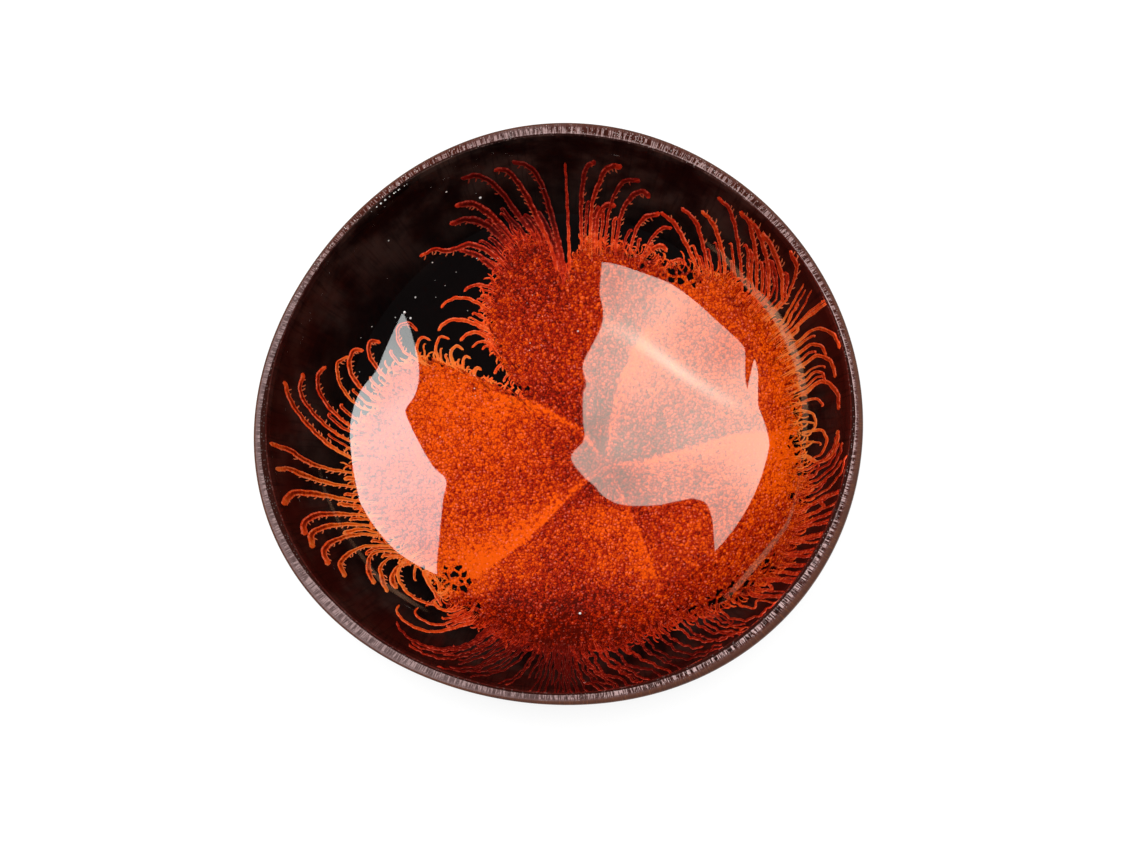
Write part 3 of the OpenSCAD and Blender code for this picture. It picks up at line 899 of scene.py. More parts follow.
# Strands: guide lines of each fan as pixels of the photograph, from root to tip.
# between: how many are filled in between two guides. short: how many broken off ones stand between them.
# barbs: the side that carries them, 1 is the left. wide: the full width in millimetres. core: how dark the
# middle is. glow: how much brighter than the body. curl: the way that short ones hook. wave: the size of small
# waves in millimetres. form: shares of the full width from root to tip
plainFan = {
    "between": 0, "short": 1, "barbs": 0, "wide": 1.0, "core": 0.5, "glow": 0.0, "curl": 1, "wave": 0.06,
    "form": (1.1, 0.9, 0.8, 0.6),
}
strandFans = {
    "leftUpper": {
        "barbs": -1, "wide": 1.1, "core": 0.95, "curl": -1, "form": (0.75, 1.0, 0.95, 0.8),
        "guides": [
        [(352, 458), (330, 445), (308, 424), (292, 402), (285, 381)],
        [(350, 441), (332, 430), (313, 412), (301, 392), (304, 373)],
        [(352, 427), (336, 414), (322, 396), (318, 378), (326, 366)],
        [(362, 408), (350, 398), (340, 382), (338, 364), (349, 356)],
        [(372, 396), (358, 384), (350, 368), (353, 352), (364, 350)],
        [(388, 380), (376, 366), (369, 352), (372, 341), (381, 343)],
        [(404, 352), (398, 338), (400, 326), (410, 324), (418, 331)],
    ]},
    "leftHooks": {"short": 2, "core": 0.3, "glow": 0.1, "curl": -1, "guides": [
        [(422, 362), (417, 350), (421, 338), (431, 340)],
        [(440, 364), (436, 348), (441, 337), (450, 339)],
        [(454, 366), (451, 354), (456, 346), (464, 350)],
        [(464, 376), (463, 364), (466, 356), (471, 359)],
        [(478, 384), (474, 374), (477, 368), (482, 370)],
    ]},
    "leftLower": {
        "barbs": 1, "wide": 1.3, "core": 1.0, "glow": 0.12, "form": (0.5, 0.55, 0.85, 1.15, 0.85),
        "guides": [
        [(372, 474), (335, 470), (309, 462), (290, 450), (270, 443)],
        [(372, 488), (335, 484), (310, 477), (290, 469), (276, 469)],
        [(378, 503), (345, 499), (318, 494), (294, 493), (284, 505)],
        [(382, 516), (350, 514), (322, 514), (306, 521), (305, 535)],
        [(384, 527), (352, 524), (328, 526), (313, 533), (313, 548)],
        [(390, 536), (360, 534), (338, 539), (325, 549), (329, 565)],
        [(396, 545), (366, 546), (350, 553), (341, 563), (346, 577)],
        [(400, 552), (378, 551), (369, 560), (370, 573), (375, 584)],
        [(408, 556), (390, 558), (381, 567), (383, 580), (388, 592)],
        [(416, 562), (400, 566), (393, 575), (394, 584), (398, 588)],
    ]},
    "netLower": {"barbs": 1, "wide": 1.1, "core": 0.6, "guides": [
        [(404, 560), (398, 574), (406, 590), (420, 600), (440, 606)],
        [(424, 572), (430, 584), (436, 594), (442, 606)],
        [(440, 572), (446, 584), (452, 594), (450, 604)],
        [(462, 588), (446, 592), (434, 600), (426, 606)],
    ]},
    "upperLeft": {
        "short": 2, "barbs": 1, "wide": 1.6, "core": 0.8, "glow": -0.16, "form": (0.8, 1.1, 0.95, 0.5),
        "guides": [
        [(566, 275), (553, 222), (542, 186), (530, 168), (512, 162)],
        [(551, 246), (538, 220), (524, 192), (508, 172), (494, 171)],
        [(534, 236), (517, 214), (500, 191), (481, 177), (461, 179)],
        [(516, 244), (497, 222), (484, 210), (470, 204), (455, 207)],
        [(512, 250), (494, 231), (482, 223), (466, 220), (450, 225)],
        [(516, 280), (496, 257), (472, 245), (450, 251), (434, 250), (420, 257)],
        [(516, 290), (498, 272), (478, 256), (458, 250)],
    ]},
    "upperLeftHooks": {"short": 3, "wide": 1.1, "core": 0.45, "guides": [
        [(506, 294), (486, 286), (472, 286), (464, 292)],
        [(500, 318), (474, 301), (458, 298), (447, 302), (441, 308)],
        [(498, 335), (470, 322), (452, 320), (443, 325), (438, 331)],
        [(498, 345), (482, 334), (470, 333), (460, 341)],
        [(500, 354), (487, 343), (479, 342), (472, 348)],
        [(508, 360), (494, 349), (487, 346), (482, 350)],
        [(520, 372), (508, 364), (500, 366), (494, 374)],
        [(526, 380), (514, 372), (507, 376), (503, 382)],
    ]},
    "top": {
        "barbs": -1, "wide": 1.15, "core": 0.6, "glow": -0.1, "curl": -1, "form": (0.7, 0.8, 1.1, 0.8),
        "guides": [
        [(582, 252), (581, 210), (583, 182), (587, 167), (596, 163)],
        [(590, 240), (592, 205), (599, 184), (607, 169), (622, 167)],
        [(596, 240), (598, 217), (606, 206), (616, 206)],
        [(605, 240), (609, 212), (616, 192), (626, 181), (640, 182)],
        [(616, 244), (621, 215), (630, 199), (641, 192), (650, 198)],
        [(630, 250), (636, 230), (645, 218), (660, 214)],
        [(642, 256), (652, 238), (662, 229), (672, 228)],
        [(640, 264), (650, 252), (660, 246), (667, 252)],
        [(664, 270), (672, 262), (680, 260), (686, 266)],
    ]},
    "needle": {"short": 0, "wide": 0.95, "core": 0.2, "glow": -0.02, "guides": [
        [(570, 275), (568, 220), (566, 180), (565, 163)],
    ]},
    "upperRight": {
        "short": 2, "barbs": -1, "wide": 1.05, "glow": -0.1, "form": (0.7, 0.9, 1.0, 0.65),
        "guides": [
        [(700, 275), (694, 262), (686, 245), (674, 224), (660, 213)],
        [(708, 278), (706, 262), (702, 243), (695, 222), (681, 208)],
        [(724, 282), (724, 262), (720, 245), (713, 225), (701, 211)],
        [(742, 290), (740, 262), (736, 234), (729, 210), (717, 198)],
        [(756, 292), (756, 262), (752, 236), (748, 222), (739, 212)],
        [(768, 296), (768, 270), (762, 244), (755, 228), (748, 220)],
        [(782, 300), (781, 276), (774, 254), (768, 242), (761, 233)],
        [(786, 300), (792, 284), (796, 268), (789, 251)],
    ]},
    "rightBristles": {"between": 1, "wide": 0.65, "core": 0.3, "guides": [
        [(782, 322), (792, 304), (803, 284)],
        [(790, 326), (802, 308), (811, 290)],
        [(796, 332), (812, 314), (827, 302)],
    ]},
    "rightHooks": {"wide": 0.92, "glow": -0.05, "curl": -1, "guides": [
        [(800, 340), (812, 330), (825, 330), (835, 338), (839, 349)],
        [(800, 352), (810, 345), (820, 346), (826, 356)],
        [(804, 364), (816, 356), (827, 359), (833, 368), (834, 378)],
        [(806, 380), (814, 372), (822, 374), (825, 384)],
        [(806, 392), (818, 382), (829, 384), (837, 395), (838, 410)],
        [(800, 410), (812, 414), (815, 424), (808, 436)],
        [(806, 432), (820, 430), (826, 440), (820, 454), (806, 460)],
        [(806, 456), (818, 462), (830, 456), (836, 444), (837, 430)],
    ]},
    "rightSweep": {"between": 1, "short": 2, "wide": 0.72, "glow": -0.17, "wave": 0.1, "guides": [
        [(792, 474), (812, 466), (830, 452), (838, 430)],
        [(796, 488), (818, 478), (835, 462), (842, 442)],
        [(798, 503), (822, 492), (838, 476), (846, 455)],
        [(798, 518), (822, 508), (838, 492), (847, 472)],
        [(794, 534), (818, 524), (836, 508), (845, 488)],
        [(784, 549), (810, 542), (830, 526), (841, 506)],
        [(774, 560), (800, 556), (820, 544), (834, 524)],
        [(760, 572), (788, 573), (808, 563), (825, 545)],
        [(744, 584), (770, 590), (792, 582), (810, 566)],
        [(724, 596), (752, 608), (774, 602), (793, 587)],
    ]},
    "lowerRight": {"between": 2, "short": 2, "wide": 0.7, "glow": -0.1, "wave": 0.2, "guides": [
        [(706, 600), (732, 618), (754, 617), (774, 603)],
        [(690, 606), (714, 628), (738, 631), (758, 620)],
        [(664, 612), (690, 636), (716, 640), (744, 628)],
        [(634, 622), (658, 650), (688, 658), (722, 646)],
        [(606, 634), (628, 664), (660, 674), (696, 664)],
        [(588, 642), (604, 674), (628, 684), (664, 678)],
        [(574, 650), (582, 678), (600, 689), (630, 686)],
    ]},
    "bottom": {"between": 4, "short": 2, "wide": 0.62, "core": 0.4, "glow": -0.22, "wave": 0.12, "guides": [
        [(572, 640), (576, 668), (582, 682), (592, 691)],
        [(564, 640), (563, 672), (563, 684), (564, 693)],
        [(552, 640), (546, 670), (542, 682), (534, 691)],
        [(542, 636), (526, 664), (514, 676), (498, 683)],
    ]},
    "lowerLeft": {
        "between": 3, "short": 3, "wide": 0.68, "core": 0.4, "glow": -0.26, "curl": -1, "wave": 0.12,
        "guides": [
        [(540, 634), (518, 660), (496, 672), (470, 676)],
        [(530, 630), (500, 655), (468, 670), (437, 666)],
        [(514, 624), (482, 648), (450, 658), (425, 653), (409, 644)],
        [(496, 618), (470, 642), (441, 648), (418, 642), (403, 632), (397, 621)],
    ]},
    "lowerLeftHooks": {"short": 2, "core": 0.3, "glow": 0.1, "curl": -1, "guides": [
        [(472, 622), (436, 631), (412, 625), (398, 613), (399, 604)],
        [(470, 612), (442, 624), (424, 620), (415, 612), (419, 607)],
        [(470, 604), (452, 610), (440, 608), (434, 600)],
    ]},
}

# Short fingers along the whole edge of the body: directions from the picture's bowl, and the way that they hook
fringe = {
    "every": 0.0012, "shortest": 0.0007, "longest": 0.0022, "width": 0.0005, "inside": 0.0012,
    "hooks": [(0, -1), (40, 1), (72, -1), (94, 1), (148, 0), (152, -1), (186, 1), (236, -1), (266, 1), (346, 1)],
}

strandLook = {
    "step": 0.0004, "sunk": -0.00003, "edgeLift": 0.00015, "coreLift": 0.00009, "tipKnob": 1.15,
    "rootInside": 0.006,
    "barbSpacing": 0.00125, "barbLength": 0.00062, "barbWidth": 0.00036,
    "edges": ["#76140e", "#cc2c12", "#ff541c", "#ff8434"], "cores": ["#240503", "#430a04", "#7c1807", "#e04e0c"],
    "barbs": ["#862418", "#ff8450"], "paintedRidgeHighlight": "#ff9078",
}


# A colour from a list of four by a value from 0 to 1
def ramp(tree, value, codes):
    base = blend(tree, fade(tree, value, 0.0, 0.36), tint(codes[0]), tint(codes[1]))
    base = layer(tree, base, fade(tree, value, 0.33, 0.68), codes[2])
    return layer(tree, base, fade(tree, value, 0.62, 1.0), codes[3])


def strandOrange():
    material, tree, shader = newMaterial("strand_orange")
    look = strandLook
    across = calc(tree, "ABSOLUTE", reading(tree, "across"))
    along = reading(tree, "along")
    even = useGroup(tree, grains, {
        "Vector": spotOn(tree), "Scale": flowLook["cells"], "Wander": flowLook["wander"]})["Even"]
    tone = plus(tree, reading(tree, "tone"), swing(tree, even, 0.8))
    lit = plus(tree, tone, times(tree, fade(tree, along, 0.86, 1.0), 0.12))
    inside = times(tree, fade(tree, across, 0.56, 0.26), fade(tree, along, 0.99, 0.84), reading(tree, "core"),
                   fade(tree, along, 0.1, 0.5, 0.1, 1.0))
    base = blend(tree, inside, ramp(tree, lit, look["edges"]), ramp(tree, tone, look["cores"]))
    # Painted highlight along the raised edges of the strand
    paintedRidgeHighlight = times(tree, fade(tree, across, 0.42, 0.64), fade(tree, across, 0.99, 0.84),
                  fade(tree, even, 0.45, 0.62, 0.0, 0.36), fade(tree, tone, 0.0, 0.7, 0.3, 1.0))
    base = layer(tree, base, paintedRidgeHighlight, look["paintedRidgeHighlight"])
    barb = blend(tree, tone, tint(look["barbs"][0]), tint(look["barbs"][1]))
    base = blend(tree, fade(tree, along, 1.4, 1.5), base, barb)
    feed(tree, shader, {"Base Color": dimmedInMirror(tree, base), "Roughness": 0.5, "Specular IOR Level": 0.0})
    return material


class Ribbons:
    def __init__(self):
        self.points, self.faces, self.across, self.along, self.tone, self.core = [], [], [], [], [], []

    # A strip that lies on the ground coat: its sides run into the coat and its back stands proud
    def add(self, path, widths, tone, alongFrom=0.0, alongTo=1.0, sections=5, lower=0.0, lifts=None, core=0.0):
        left = leftOf(path)
        offsets = [-1, -0.6, 0, 0.6, 1] if sections == 5 else [-1, 0, 1]
        sunk, edge, middle = strandLook["sunk"], strandLook["edgeLift"], strandLook["coreLift"]
        if lifts is None:
            lifts = [sunk, edge, middle, edge, sunk] if sections == 5 else [sunk, edge, sunk]
            lifts = [bowl["ground"] - lower + lift for lift in lifts]
        base = len(self.points)
        along = np.linspace(alongFrom, alongTo, len(path))
        grid = []
        for offset, lift in zip(offsets, lifts):
            spot = path + left * (offset * widths / 2)[:, None]
            grid.append(onHollow(spot[:, 0], spot[:, 1], lift))
        count = len(offsets)
        self.points += list(np.stack(grid, 1).reshape(-1, 3))
        self.across += list(np.tile(offsets, len(path)))
        self.along += list(np.repeat(along, count))
        self.tone += list(np.repeat(tone, count))
        self.core += [core] * (count * len(path))
        for i in range(len(path) - 1):
            for k in range(count - 1):
                a = base + i * count + k
                self.faces.append((a, a + count, a + count + 1, a + 1))


# Width along a strand by its form, which lists shares of the full width from root to tip, and a round end
def strandWidths(path, width, form, rng):
    t = np.linspace(0, 1, len(path))
    left = goneAlong(path)[-1] * (1 - t)
    slim = width * np.interp(t, np.linspace(0, 1, len(form)), form)
    slim = slim * (1 + 0.07 * np.sin(t * 23 + rng.uniform(0, 6)))
    knob = 1 + (strandLook["tipKnob"] - 1) * np.exp(-(left / 0.0008) ** 2)
    return slim * knob * np.sqrt(1 - (1 - np.clip(left / (width * 0.4), 0, 1)) ** 2 * 0.98)


# A path that bends steadily to one side from a root
def hookPath(root, heading, length, turning, step=0.00028):
    count = max(int(length / step), 4)
    angles = heading + turning * np.linspace(0, 1, count) ** 1.3
    steps = np.stack([np.cos(angles), np.sin(angles)], -1) * (length / count)
    return np.concatenate([[root], root + np.cumsum(steps, axis=0)])


def addBarbs(ribbons, path, widths, tone, side, rng):
    look = strandLook
    gone = goneAlong(path)
    spot = gone[-1] * 0.25
    while spot < gone[-1] - 0.0012:
        here, ahead = pickAlong(path, gone, [spot, spot + 0.0005])
        forward = (ahead - here) / max(np.linalg.norm(ahead - here), 1e-9)
        outward = np.array([-forward[1], forward[0]]) * side
        size = look["barbLength"] * rng.uniform(0.3, 1.5)
        root = here + outward * np.interp(spot, gone, widths) * 0.3
        bend = root + outward * size * 0.6 + forward * size * 0.25
        tip = root + outward * size * 0.95 + forward * size * rng.uniform(0.4, 0.9)
        barb = smoothPath([root, bend, tip], 0.00025)
        t = np.linspace(0, 1, len(barb))
        shade = np.full(len(barb), np.interp(spot, gone, tone) + 0.12)
        ribbons.add(barb, look["barbWidth"] * np.sqrt(np.clip(1.05 - t ** 3, 0.02, 1)), shade, 2.0, 2.0, 3)
        spot += look["barbSpacing"] * rng.uniform(0.6, 1.6)


def betweenGuides(a, b, share, rng):
    one, two = (evenly(smoothPath(guide, strandLook["step"]), 8) for guide in (a, b))
    return one * (1 - share) + two * share + rng.normal(0, 0.00018, (8, 2))


# The same line with its root drawn back under the body, towards the flow's middle
def drawnBack(path, length):
    back = pole - path[0]
    start = path[0] + back / np.linalg.norm(back) * length
    t = np.linspace(0, 1, 6)[:-1, None]
    return np.concatenate([start + (path[0] - start) * t, path])


# Small waves along a path, none at its root
def wavered(path, size, rng):
    gone = goneAlong(path) * 1000
    sway = np.sin(gone * rng.uniform(1.4, 2.2) + rng.uniform(0, 6))
    sway = sway + 0.6 * np.sin(gone * rng.uniform(3, 4) + rng.uniform(0, 6))
    return path + leftOf(path) * (sway * size * np.clip(gone / 3, 0, 1))[:, None]


def makeFan(ribbons, fan, rng):
    fan = {**plainFan, **fan}
    guides = [pixelPlan(g) for g in fan["guides"]]
    lines = []
    for guide, following in zip(guides, guides[1:] + [None]):
        lines.append((guide, 1.0))
        if following is None:
            break
        for key, apart, keep in (("between", 0.08, (0.62, 1.0)), ("short", 0.12, (0.22, 0.5))):
            for n in range(fan[key]):
                share = (n + 1) / (fan[key] + 1) + rng.uniform(-apart, apart)
                lines.append((betweenGuides(guide, following, share, rng), rng.uniform(*keep)))
    for line, keep in lines:
        path = smoothPath(line, strandLook["step"])
        if keep < 1:
            path = path[:max(int(len(path) * keep), 4)]
        if keep < 0.6:
            heading = math.atan2(*(path[-1] - path[-3])[::-1])
            hook = hookPath(path[-1], heading, 0.0012, fan["curl"] * rng.uniform(1.2, 2.2))
            path = np.concatenate([path, hook[1:]])
        path = wavered(path, fan["wave"] / 1000, rng)
        size = fan["wide"] / 1000 * rng.uniform(0.75, 1.2) * (0.72 if keep < 0.6 else 1)
        widths = strandWidths(path, size, fan["form"], rng)
        path = drawnBack(path, strandLook["rootInside"])
        widths = np.concatenate([np.full(len(path) - len(widths), widths[0]), widths])
        tone = toneAt(path[:, 0], path[:, 1]) + rng.uniform(-0.13, 0.11)
        tone = tone + fan["glow"] + np.linspace(0.2, 0.0, len(path))
        ribbons.add(path, widths, tone, lower=rng.uniform(0, 0.00003), core=fan["core"])
        if fan["barbs"] and keep > 0.6:
            addBarbs(ribbons, path, widths, tone, fan["barbs"], rng)


def makeFringe(ribbons, border, rng):
    look = fringe
    ways = np.array([turn for turn, _ in look["hooks"]])
    middle = pixelPlan([flowMiddle])[0]
    closed = np.concatenate([border, border[:1]])
    gone = goneAlong(closed)
    spot = 0.0
    while spot < gone[-1]:
        nearby = [spot, min(spot + 0.002, gone[-1]), max(spot - 0.002, 0)]
        here, ahead, behind = pickAlong(closed, gone, nearby)
        step = ahead - behind
        heading = math.atan2(-step[0], step[1]) + rng.normal(0, 0.3)
        turn = math.degrees(math.atan2(here[1] - middle[1], here[0] - middle[0])) % 360
        hook = look["hooks"][np.searchsorted(ways, turn, side="right") - 1][1]
        length = rng.uniform(look["shortest"], look["longest"]) * (0.5 if hook == 0 else 1)
        root = here - look["inside"] * np.array([math.cos(heading), math.sin(heading)])
        path = hookPath(root, heading - 0.25 * hook, length + look["inside"], hook * rng.uniform(1.0, 2.4))
        t = np.linspace(0, 1, len(path))
        widths = look["width"] * rng.uniform(0.75, 1.25) * np.sqrt(np.clip(1.02 - t ** 5, 0.02, 1))
        tone = toneAt(path[:, 0], path[:, 1]) + rng.uniform(-0.05, 0.15)
        ribbons.add(path, widths, tone, 0.9, 0.99, 3)
        spot += look["every"] * rng.uniform(0.6, 1.5)


def makeStrands():
    rng = np.random.default_rng(21)
    ribbons = Ribbons()
    for fan in strandFans.values():
        makeFan(ribbons, fan, rng)
    makeFringe(ribbons, flowBorder, rng)
    values = {"across": ribbons.across, "along": ribbons.along, "tone": ribbons.tone, "core": ribbons.core}
    piece = meshFrom("flow_strands", ribbons.points, ribbons.faces, [strandOrange()], None, values)
    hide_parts("colour_flow")
    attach(piece, "root")
    print("strands:", len(ribbons.faces), "faces")


makeStrands()

# Clear gloss

clearLook = {"around": 480, "rings": 120, "bend": 1.5, "mirror": 5.3, "mostMirror": 0.3, "roughness": 0.03}


def clearGloss():
    material, tree, shader = newMaterial("clear_gloss")
    look = clearLook
    mirror = times(tree, newNode(tree, "Fresnel", {"IOR": look["bend"]}).outputs[0], look["mirror"])
    mirror = calc(tree, "MINIMUM", mirror, look["mostMirror"])
    front = minus(tree, 1.0, newNode(tree, "NewGeometry").outputs["Backfacing"])
    first = minus(tree, 1.0, newNode(tree, "LightPath").outputs["Is Glossy Ray"])
    below = fade(tree, reading(tree, "high"), 0.99, 0.975)
    feed(tree, shader, {
        "Base Color": (1, 1, 1, 1), "Metallic": 1.0, "Roughness": look["roughness"],
        "Alpha": times(tree, mirror, front, first, below)})
    swell = newNode(tree, "TexNoise", {"Vector": spotOn(tree), "Scale": 90.0, "Detail": 1.0}).outputs["Fac"]
    raised(tree, shader, swell, 0.0002, 0.05)
    return material


def makeClear():
    around = clearLook["around"]
    under = bowl["ground"] + bowl["colour"] + bowl["overlap"]
    turn, sharesUnder, low = coatRings(around, 20, under)
    turn, sharesTop, top = coatRings(around, clearLook["rings"], glossTop)
    first = [-midX, -midY, bowl["floor"] + under]
    last = [-midX, -midY, bowl["floor"] + glossTop]
    high = byRing(np.concatenate([sharesUnder, sharesTop[::-1]]), around)
    piece = skinFrom("clear_coat_film", low + top[::-1], first, last, [clearGloss()], None, {"high": high})
    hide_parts("clear_coat")
    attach(piece, "root")


makeClear()
print("clear coat made")

# Faint pale rings painted on the gloss as reflections: points as pixels of the photograph, width in pixels and
# strength
paintedReflectionLines = {
    "upper": [(700, 238, 4, 0.0), (712, 246, 6, 0.6), (724, 256, 7, 1.0), (740, 274, 9, 1.4), (756, 292, 10, 1.8),
              (771, 308, 10, 1.8), (784, 328, 9, 1.6), (794, 350, 8, 1.0), (801, 372, 7, 0.6), (806, 406, 5, 0.3),
              (805, 440, 3, 0.2), (800, 480, 3, 0.3), (790, 520, 5, 0.6), (772, 546, 7, 0.8), (755, 567, 8, 0.8),
              (735, 590, 7, 0.6), (717, 609, 4, 0.0)],
    "lower": [(316, 458, 3, 0.0), (320, 475, 4, 0.2), (325, 494, 4, 0.3), (340, 526, 4, 0.2), (357, 551, 5, 0.4),
              (380, 581, 6, 0.6), (405, 599, 6, 0.5), (430, 614, 4, 0.0)],
}


def paintedReflectionGloss():
    material, tree, shader = newMaterial("painted_reflection_gloss")
    cloud = useGroup(tree, drift, {"Vector": spotOn(tree), "Scale": 300.0, "Low": 0.2, "High": 0.6})["Share"]
    across = fade(tree, calc(tree, "ABSOLUTE", reading(tree, "across")), 1.0, 0.5, 0.0, 0.13)
    direct = minus(tree, 1.0, newNode(tree, "LightPath").outputs["Is Glossy Ray"])
    share = times(tree, reading(tree, "tone"), across, direct, fade(tree, cloud, 0.0, 1.0, 0.5, 1.0))
    # The pale colour is a painted reflection, left out of what the gloss mirrors
    colour = blend(tree, cloud, (0.9, 0.4, 0.2, 1), (0.9, 0.5, 0.3, 1))
    feed(tree, shader, {"Base Color": colour, "Alpha": share, "Specular IOR Level": 0.0})
    return material


def makePaintedReflections():
    ribbons = Ribbons()
    top = glossTop + 0.00002
    for line in paintedReflectionLines.values():
        line = np.array(line, float)
        path = smoothPath(pixelPlan(line[:, :2]), 0.0007)
        wide, strength = evenly(line[:, 2:], len(path)).T
        ribbons.add(path, wide * photo["pixel"], strength, lifts=[top] * 5)
    values = {"across": ribbons.across, "tone": ribbons.tone}
    piece = meshFrom("gloss_painted_reflections", ribbons.points, ribbons.faces, [paintedReflectionGloss()], None, values)
    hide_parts("clear_coat")
    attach(piece, "root")


makePaintedReflections()
print("haze made")

# Small white domes on the gloss, painted glints and dried nibs: pixels of the larger ones and their radius in
# millimetres
glintDomeLook = {
    "large": [
        (480, 197, 0.34), (375, 205, 0.13), (378, 200, 0.2), (381, 203, 0.1), (382, 196, 0.22),
        (385, 199, 0.11), (386, 192, 0.1), (389, 196, 0.14), (390, 188, 0.16), (394, 190, 0.09),
        (394, 184, 0.14), (398, 187, 0.1), (401, 181, 0.09), (406, 183, 0.07), (370, 210, 0.07),
        (384, 206, 0.06), (404, 312, 0.34), (410, 318, 0.28), (415, 297, 0.22), (578, 331, 0.22),
        (580, 614, 0.34), (388, 240, 0.2), (446, 191, 0.2), (432, 262, 0.18),
    ],
    "small": 46, "rise": 0.6, "around": 12, "rings": 5, "white": "#e4e0dc",
}


def glintDomeWhite():
    material, tree, shader = newMaterial("painted_glint_white")
    cloud = useGroup(tree, drift, {"Vector": spotOn(tree), "Scale": 900.0, "Low": 0.3, "High": 0.7})["Share"]
    white = glintDomeLook["white"]
    # The white stands in for glints of light on the gloss, and for the nibs' own white
    feed(tree, shader, {"Base Color": blend(tree, cloud, tint(white), tint(white, 0.45)), "Roughness": 0.2})
    return material


def makeGlintDomes():
    look = glintDomeLook
    rng = np.random.default_rng(11)
    around = look["around"]
    spots = [(pixelPlan([(x, y)])[0], size / 1000) for x, y, size in look["large"]]
    for _ in range(look["small"]):
        away, turn = rng.uniform(0.02, 0.058), rng.uniform(95, 200)
        spots.append((np.array([away * cosOf(turn), away * sinOf(turn)]), rng.uniform(0.00006, 0.00013)))
    points, faces = [], []
    for spot, size in spots:
        base = onHollow(spot[0], spot[1], glossTop - 0.00003)
        up = hollowNormal(spot[0], spot[1])
        aside = np.cross(up, [spot[0], spot[1], 0])
        aside = aside / np.linalg.norm(aside) * (1.25 if np.hypot(spot[0], spot[1]) > 0.06 else 1)
        over = np.cross(up, aside) / np.linalg.norm(aside)
        first = len(points)
        for bend in np.arange(look["rings"]) * 90 / look["rings"]:
            for turn in np.arange(around) * 360 / around:
                flat = aside * cosOf(turn) + over * sinOf(turn)
                points.append(base + size * (flat * cosOf(bend) + up * look["rise"] * sinOf(bend)))
        points.append(base + up * size * look["rise"])
        faces += ringFaces(look["rings"], around, first)
        faces += capFaces(len(points) - 1, len(points) - 1 - around, around, False)
    piece = meshFrom("gloss_glint_domes", points, faces, [glintDomeWhite()])
    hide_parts("clear_coat")
    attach(piece, "root")


makeGlintDomes()
print("bubbles made")

# Studio: floor, lamps and the soft boxes that the gloss mirrors

studio = {
    "floorSize": 3.0, "floorTone": 0.12, "floorWhite": 0.93, "floorGlow": 0.3, "sky": 0.45, "skyMirrored": 0.008,
    "topLamp": 25.0, "topSize": 1.2, "topHeight": 1.3,
    "boxDistance": 1.0, "boxLight": 2.05, "boxShare": 2.2,
}
channels = ("red", "green", "blue")


def floorMaterial():
    material, tree, shader = newMaterial("pale_floor")
    rays = newNode(tree, "LightPath").outputs
    seen = calc(tree, "MAXIMUM", rays["Is Camera Ray"], rays["Is Glossy Ray"])
    seen = calc(tree, "MAXIMUM", seen, rays["Is Transmission Ray"])
    bright = fade(tree, seen, 0.0, 1.0, studio["floorGlow"], studio["floorWhite"])
    away = newNode(tree, "VectorMath", {0: spotOn(tree)}, operation="LENGTH").outputs["Value"]
    # Painted shadow: the floor's glow is dimmer near the bowl's middle, under its foot
    paintedFootShadow = fade(tree, away, 0.012, 0.082, 0.12, 1.0)
    under = times(tree, newNode(tree, "NewGeometry").outputs["Backfacing"], rays["Is Camera Ray"])
    feed(tree, shader, {
        "Base Color": (studio["floorTone"],) * 3 + (1,), "Roughness": 0.9, "Specular IOR Level": 0.0,
        "Emission Color": (1, 1, 1, 1), "Emission Strength": times(tree, bright, paintedFootShadow),
        "Alpha": minus(tree, 1, under)})  # from below, the floor lets the foot show
    return material


def makeFloor():
    half = studio["floorSize"]
    points = [(-half, -half, 0), (half, -half, 0), (half, half, 0), (-half, half, 0)]
    floor = meshFrom("floor", points, [(0, 1, 2, 3)], [floorMaterial()])


def boxMaterial(name):
    material, tree, shader = newMaterial(name)
    colour = newNode(tree, "CombineColor", {k: reading(tree, key) for k, key in enumerate(channels)})
    glow = newNode(tree, "Emission", {"Color": colour.outputs[0], "Strength": studio["boxLight"]})
    tree.nodes.remove(shader)
    feed(tree, tree.nodes["Material Output"], {"Surface": glow.outputs[0]})
    return material


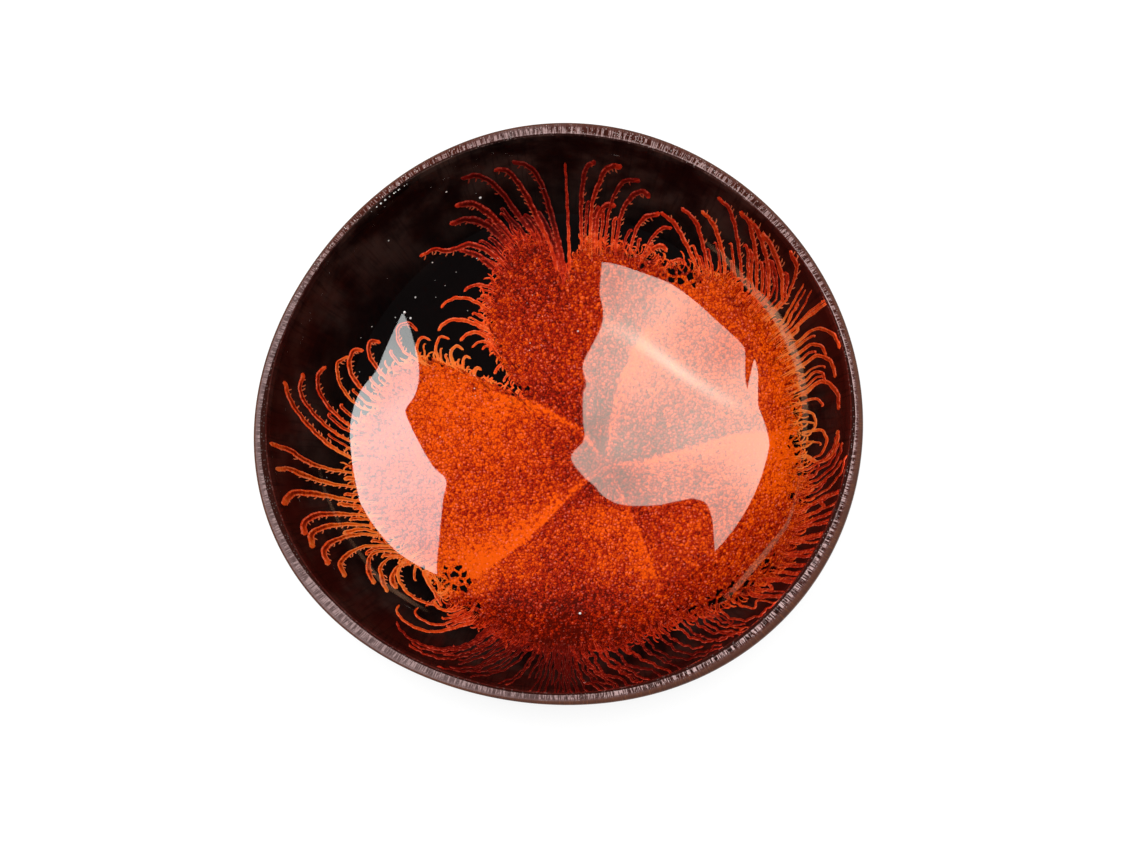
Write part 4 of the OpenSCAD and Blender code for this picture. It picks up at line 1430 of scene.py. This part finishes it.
# Soft boxes as the gloss shows them: left and right edges of each reflection in pixels from top to bottom, the
# light that it adds at a few places, and bright streaks in it
rightLights = [
    (610, 280, 0.29), (640, 290, 0.37), (660, 310, 0.43), (700, 330, 0.33), (730, 345, 0.26), (640, 380, 0.42),
    (620, 440, 0.39), (595, 430, 0.31), (590, 400, 0.37), (620, 480, 0.29), (700, 440, 0.43), (740, 430, 0.42),
    (760, 450, 0.42), (700, 480, 0.34), (720, 520, 0.27), (735, 540, 0.25), (755, 385, 0.41),
]
softBoxes = {
    "leftHand": {
        "from": [(402, 314), (394, 330), (385, 350), (376, 371), (363, 387), (356, 400), (351, 420), (350, 440),
                 (352, 462), (356, 485), (362, 508), (376, 531), (392, 548), (412, 562), (435, 574)],
        "to": [(404, 314), (410, 328), (414, 343), (418, 358), (419, 376), (416, 392), (410, 403), (405, 411),
               (411, 426), (418, 440), (432, 465), (446, 480), (443, 500), (440, 530), (437, 560), (437, 574)],
        "lights": [(401, 330, 0.33), (385, 368, 0.4), (372, 388, 0.39), (400, 420, 0.5), (380, 440, 0.49),
                   (400, 480, 0.44), (415, 520, 0.37), (425, 560, 0.29), (356, 420, 0.47)],
        "tint": (1.0, 1.02, 1.01),
    },
    "rightHand": {
        "from": [(602, 262), (600, 292), (603, 308), (602, 324), (593, 344), (583, 365), (586, 385), (583, 393),
                 (583, 420), (584, 440), (571, 457), (584, 477), (594, 485), (605, 497), (625, 505), (659, 505),
                 (673, 501), (686, 495), (694, 499), (706, 503), (712, 518), (714, 538), (716, 566)],
        "to": [(603, 262), (619, 265), (643, 273), (671, 284), (696, 302), (718, 322), (738, 340), (745, 351),
               (746, 384), (757, 403), (768, 435), (769, 457), (766, 479), (762, 503), (756, 526), (746, 545),
               (717, 567)],
        "lights": rightLights,
        "tint": (1.0, 0.94, 0.8),
        "streak": [(606, 326, 9, 0.25), (622, 332, 8, 0.45), (640, 342, 7, 0.75), (658, 355, 6, 1.0),
                   (678, 370, 6, 1.0), (700, 385, 6, 0.75), (722, 398, 6, 0.5), (744, 408, 5, 0.1)],
    },
    "rightLobe": {
        "from": [(754, 360), (751, 372), (748, 388), (752, 402), (757, 409)],
        "to": [(755, 360), (758, 372), (758, 388), (758, 400), (758, 410)],
        "lights": rightLights,
        "tint": (1.0, 0.94, 0.8),
    },
}


def mirrorWay(pixels):
    plan = pixelPlan(pixels, glossTop)
    spot = onHollow(plan[..., 0], plan[..., 1], glossTop)
    normal = hollowNormal(plan[..., 0], plan[..., 1])
    ray = pixelRay(pixels)
    return spot, ray - 2 * (ray * normal).sum(-1, keepdims=True) * normal


def lightSheet(name, pixels, light):
    rows, columns = pixels.shape[:2]
    spot, back = mirrorWay(pixels)
    points = (spot + back * studio["boxDistance"]).reshape(-1, 3)
    corners = np.arange(rows * columns).reshape(rows, columns)
    faces = np.stack([corners[:-1, :-1], corners[:-1, 1:], corners[1:, 1:], corners[1:, :-1]], -1)
    values = {key: light[..., k] for k, key in enumerate(channels)}
    sheet = meshFrom(name, points, faces.reshape(-1, 4).tolist(), [boxMaterial(name)], None, values)
    for ray in ("camera", "diffuse", "transmission", "volume_scatter", "shadow"):
        setattr(sheet, "visible_" + ray, False)


def makeSoftBox(name, box):
    left = evenly(smoothPath(box["from"], 3.0), 90)
    right = evenly(smoothPath(box["to"], 3.0), 90)
    share = np.linspace(0, 1, 50)[None, :, None]
    pixels = left[:, None, :] * (1 - share) + right[:, None, :] * share
    spots = np.array(box["lights"], float)
    near = 1 / (((pixels[:, :, None, :] - spots[:, :2]) ** 2).sum(-1) + 60) ** 1.5
    light = ((near * spots[:, 2]).sum(-1) / near.sum(-1))[..., None] * np.array(box["tint"])
    if "streak" in box:
        streak = np.array(box["streak"], float)
        line = evenly(smoothPath(streak[:, :2], 3.0), 60)
        ends = np.linspace(0, 1, 60), np.linspace(0, 1, len(streak))
        wide, level = (np.interp(*ends, streak[:, k]) for k in (2, 3))
        away = np.linalg.norm(pixels[:, :, None, :] - line, axis=-1)
        glow = level * (0.8 * np.exp(-(away / wide) ** 2) + 0.2 * np.exp(-away / wide / 2.5))
        light = light + glow.max(-1)[..., None] * np.array([0.36, 0.34, 0.27])
    lightSheet(name, pixels, light * studio["boxShare"])


def makeLamp(name, size, energy, where, aim):
    lamp = bpy.data.lights.new(name, "AREA")
    lamp.shape = "DISK"
    lamp.size = size
    lamp.energy = energy
    holder = bpy.data.objects.new(name, lamp)
    bpy.context.scene.collection.objects.link(holder)
    holder.location = where
    away = np.array(where, float) - np.array(aim, float)
    holder.rotation_euler = (0, math.atan2(math.hypot(away[0], away[1]), away[2]), math.atan2(away[1], away[0]))
    holder.visible_glossy = False


makeFloor()
for boxName, boxValues in softBoxes.items():
    makeSoftBox("soft_box_" + boxName, boxValues)
makeLamp("top_lamp", studio["topSize"], studio["topLamp"], (-0.1, 0.1, studio["topHeight"]), (0, 0, 0.02))

world = bpy.data.worlds.new("studio")
bpy.context.scene.world = world
world.use_nodes = True
sky = world.node_tree
rays = newNode(sky, "LightPath").outputs
skyLight = fade(sky, rays["Is Glossy Ray"], 0.0, 1.0, studio["sky"], studio["skyMirrored"])
skyLight = calc(sky, "MAXIMUM", skyLight, rays["Is Camera Ray"])  # white behind the bowl
feed(sky, sky.nodes["Background"], {"Color": (1, 1, 1, 1), "Strength": skyLight})
print("studio made")
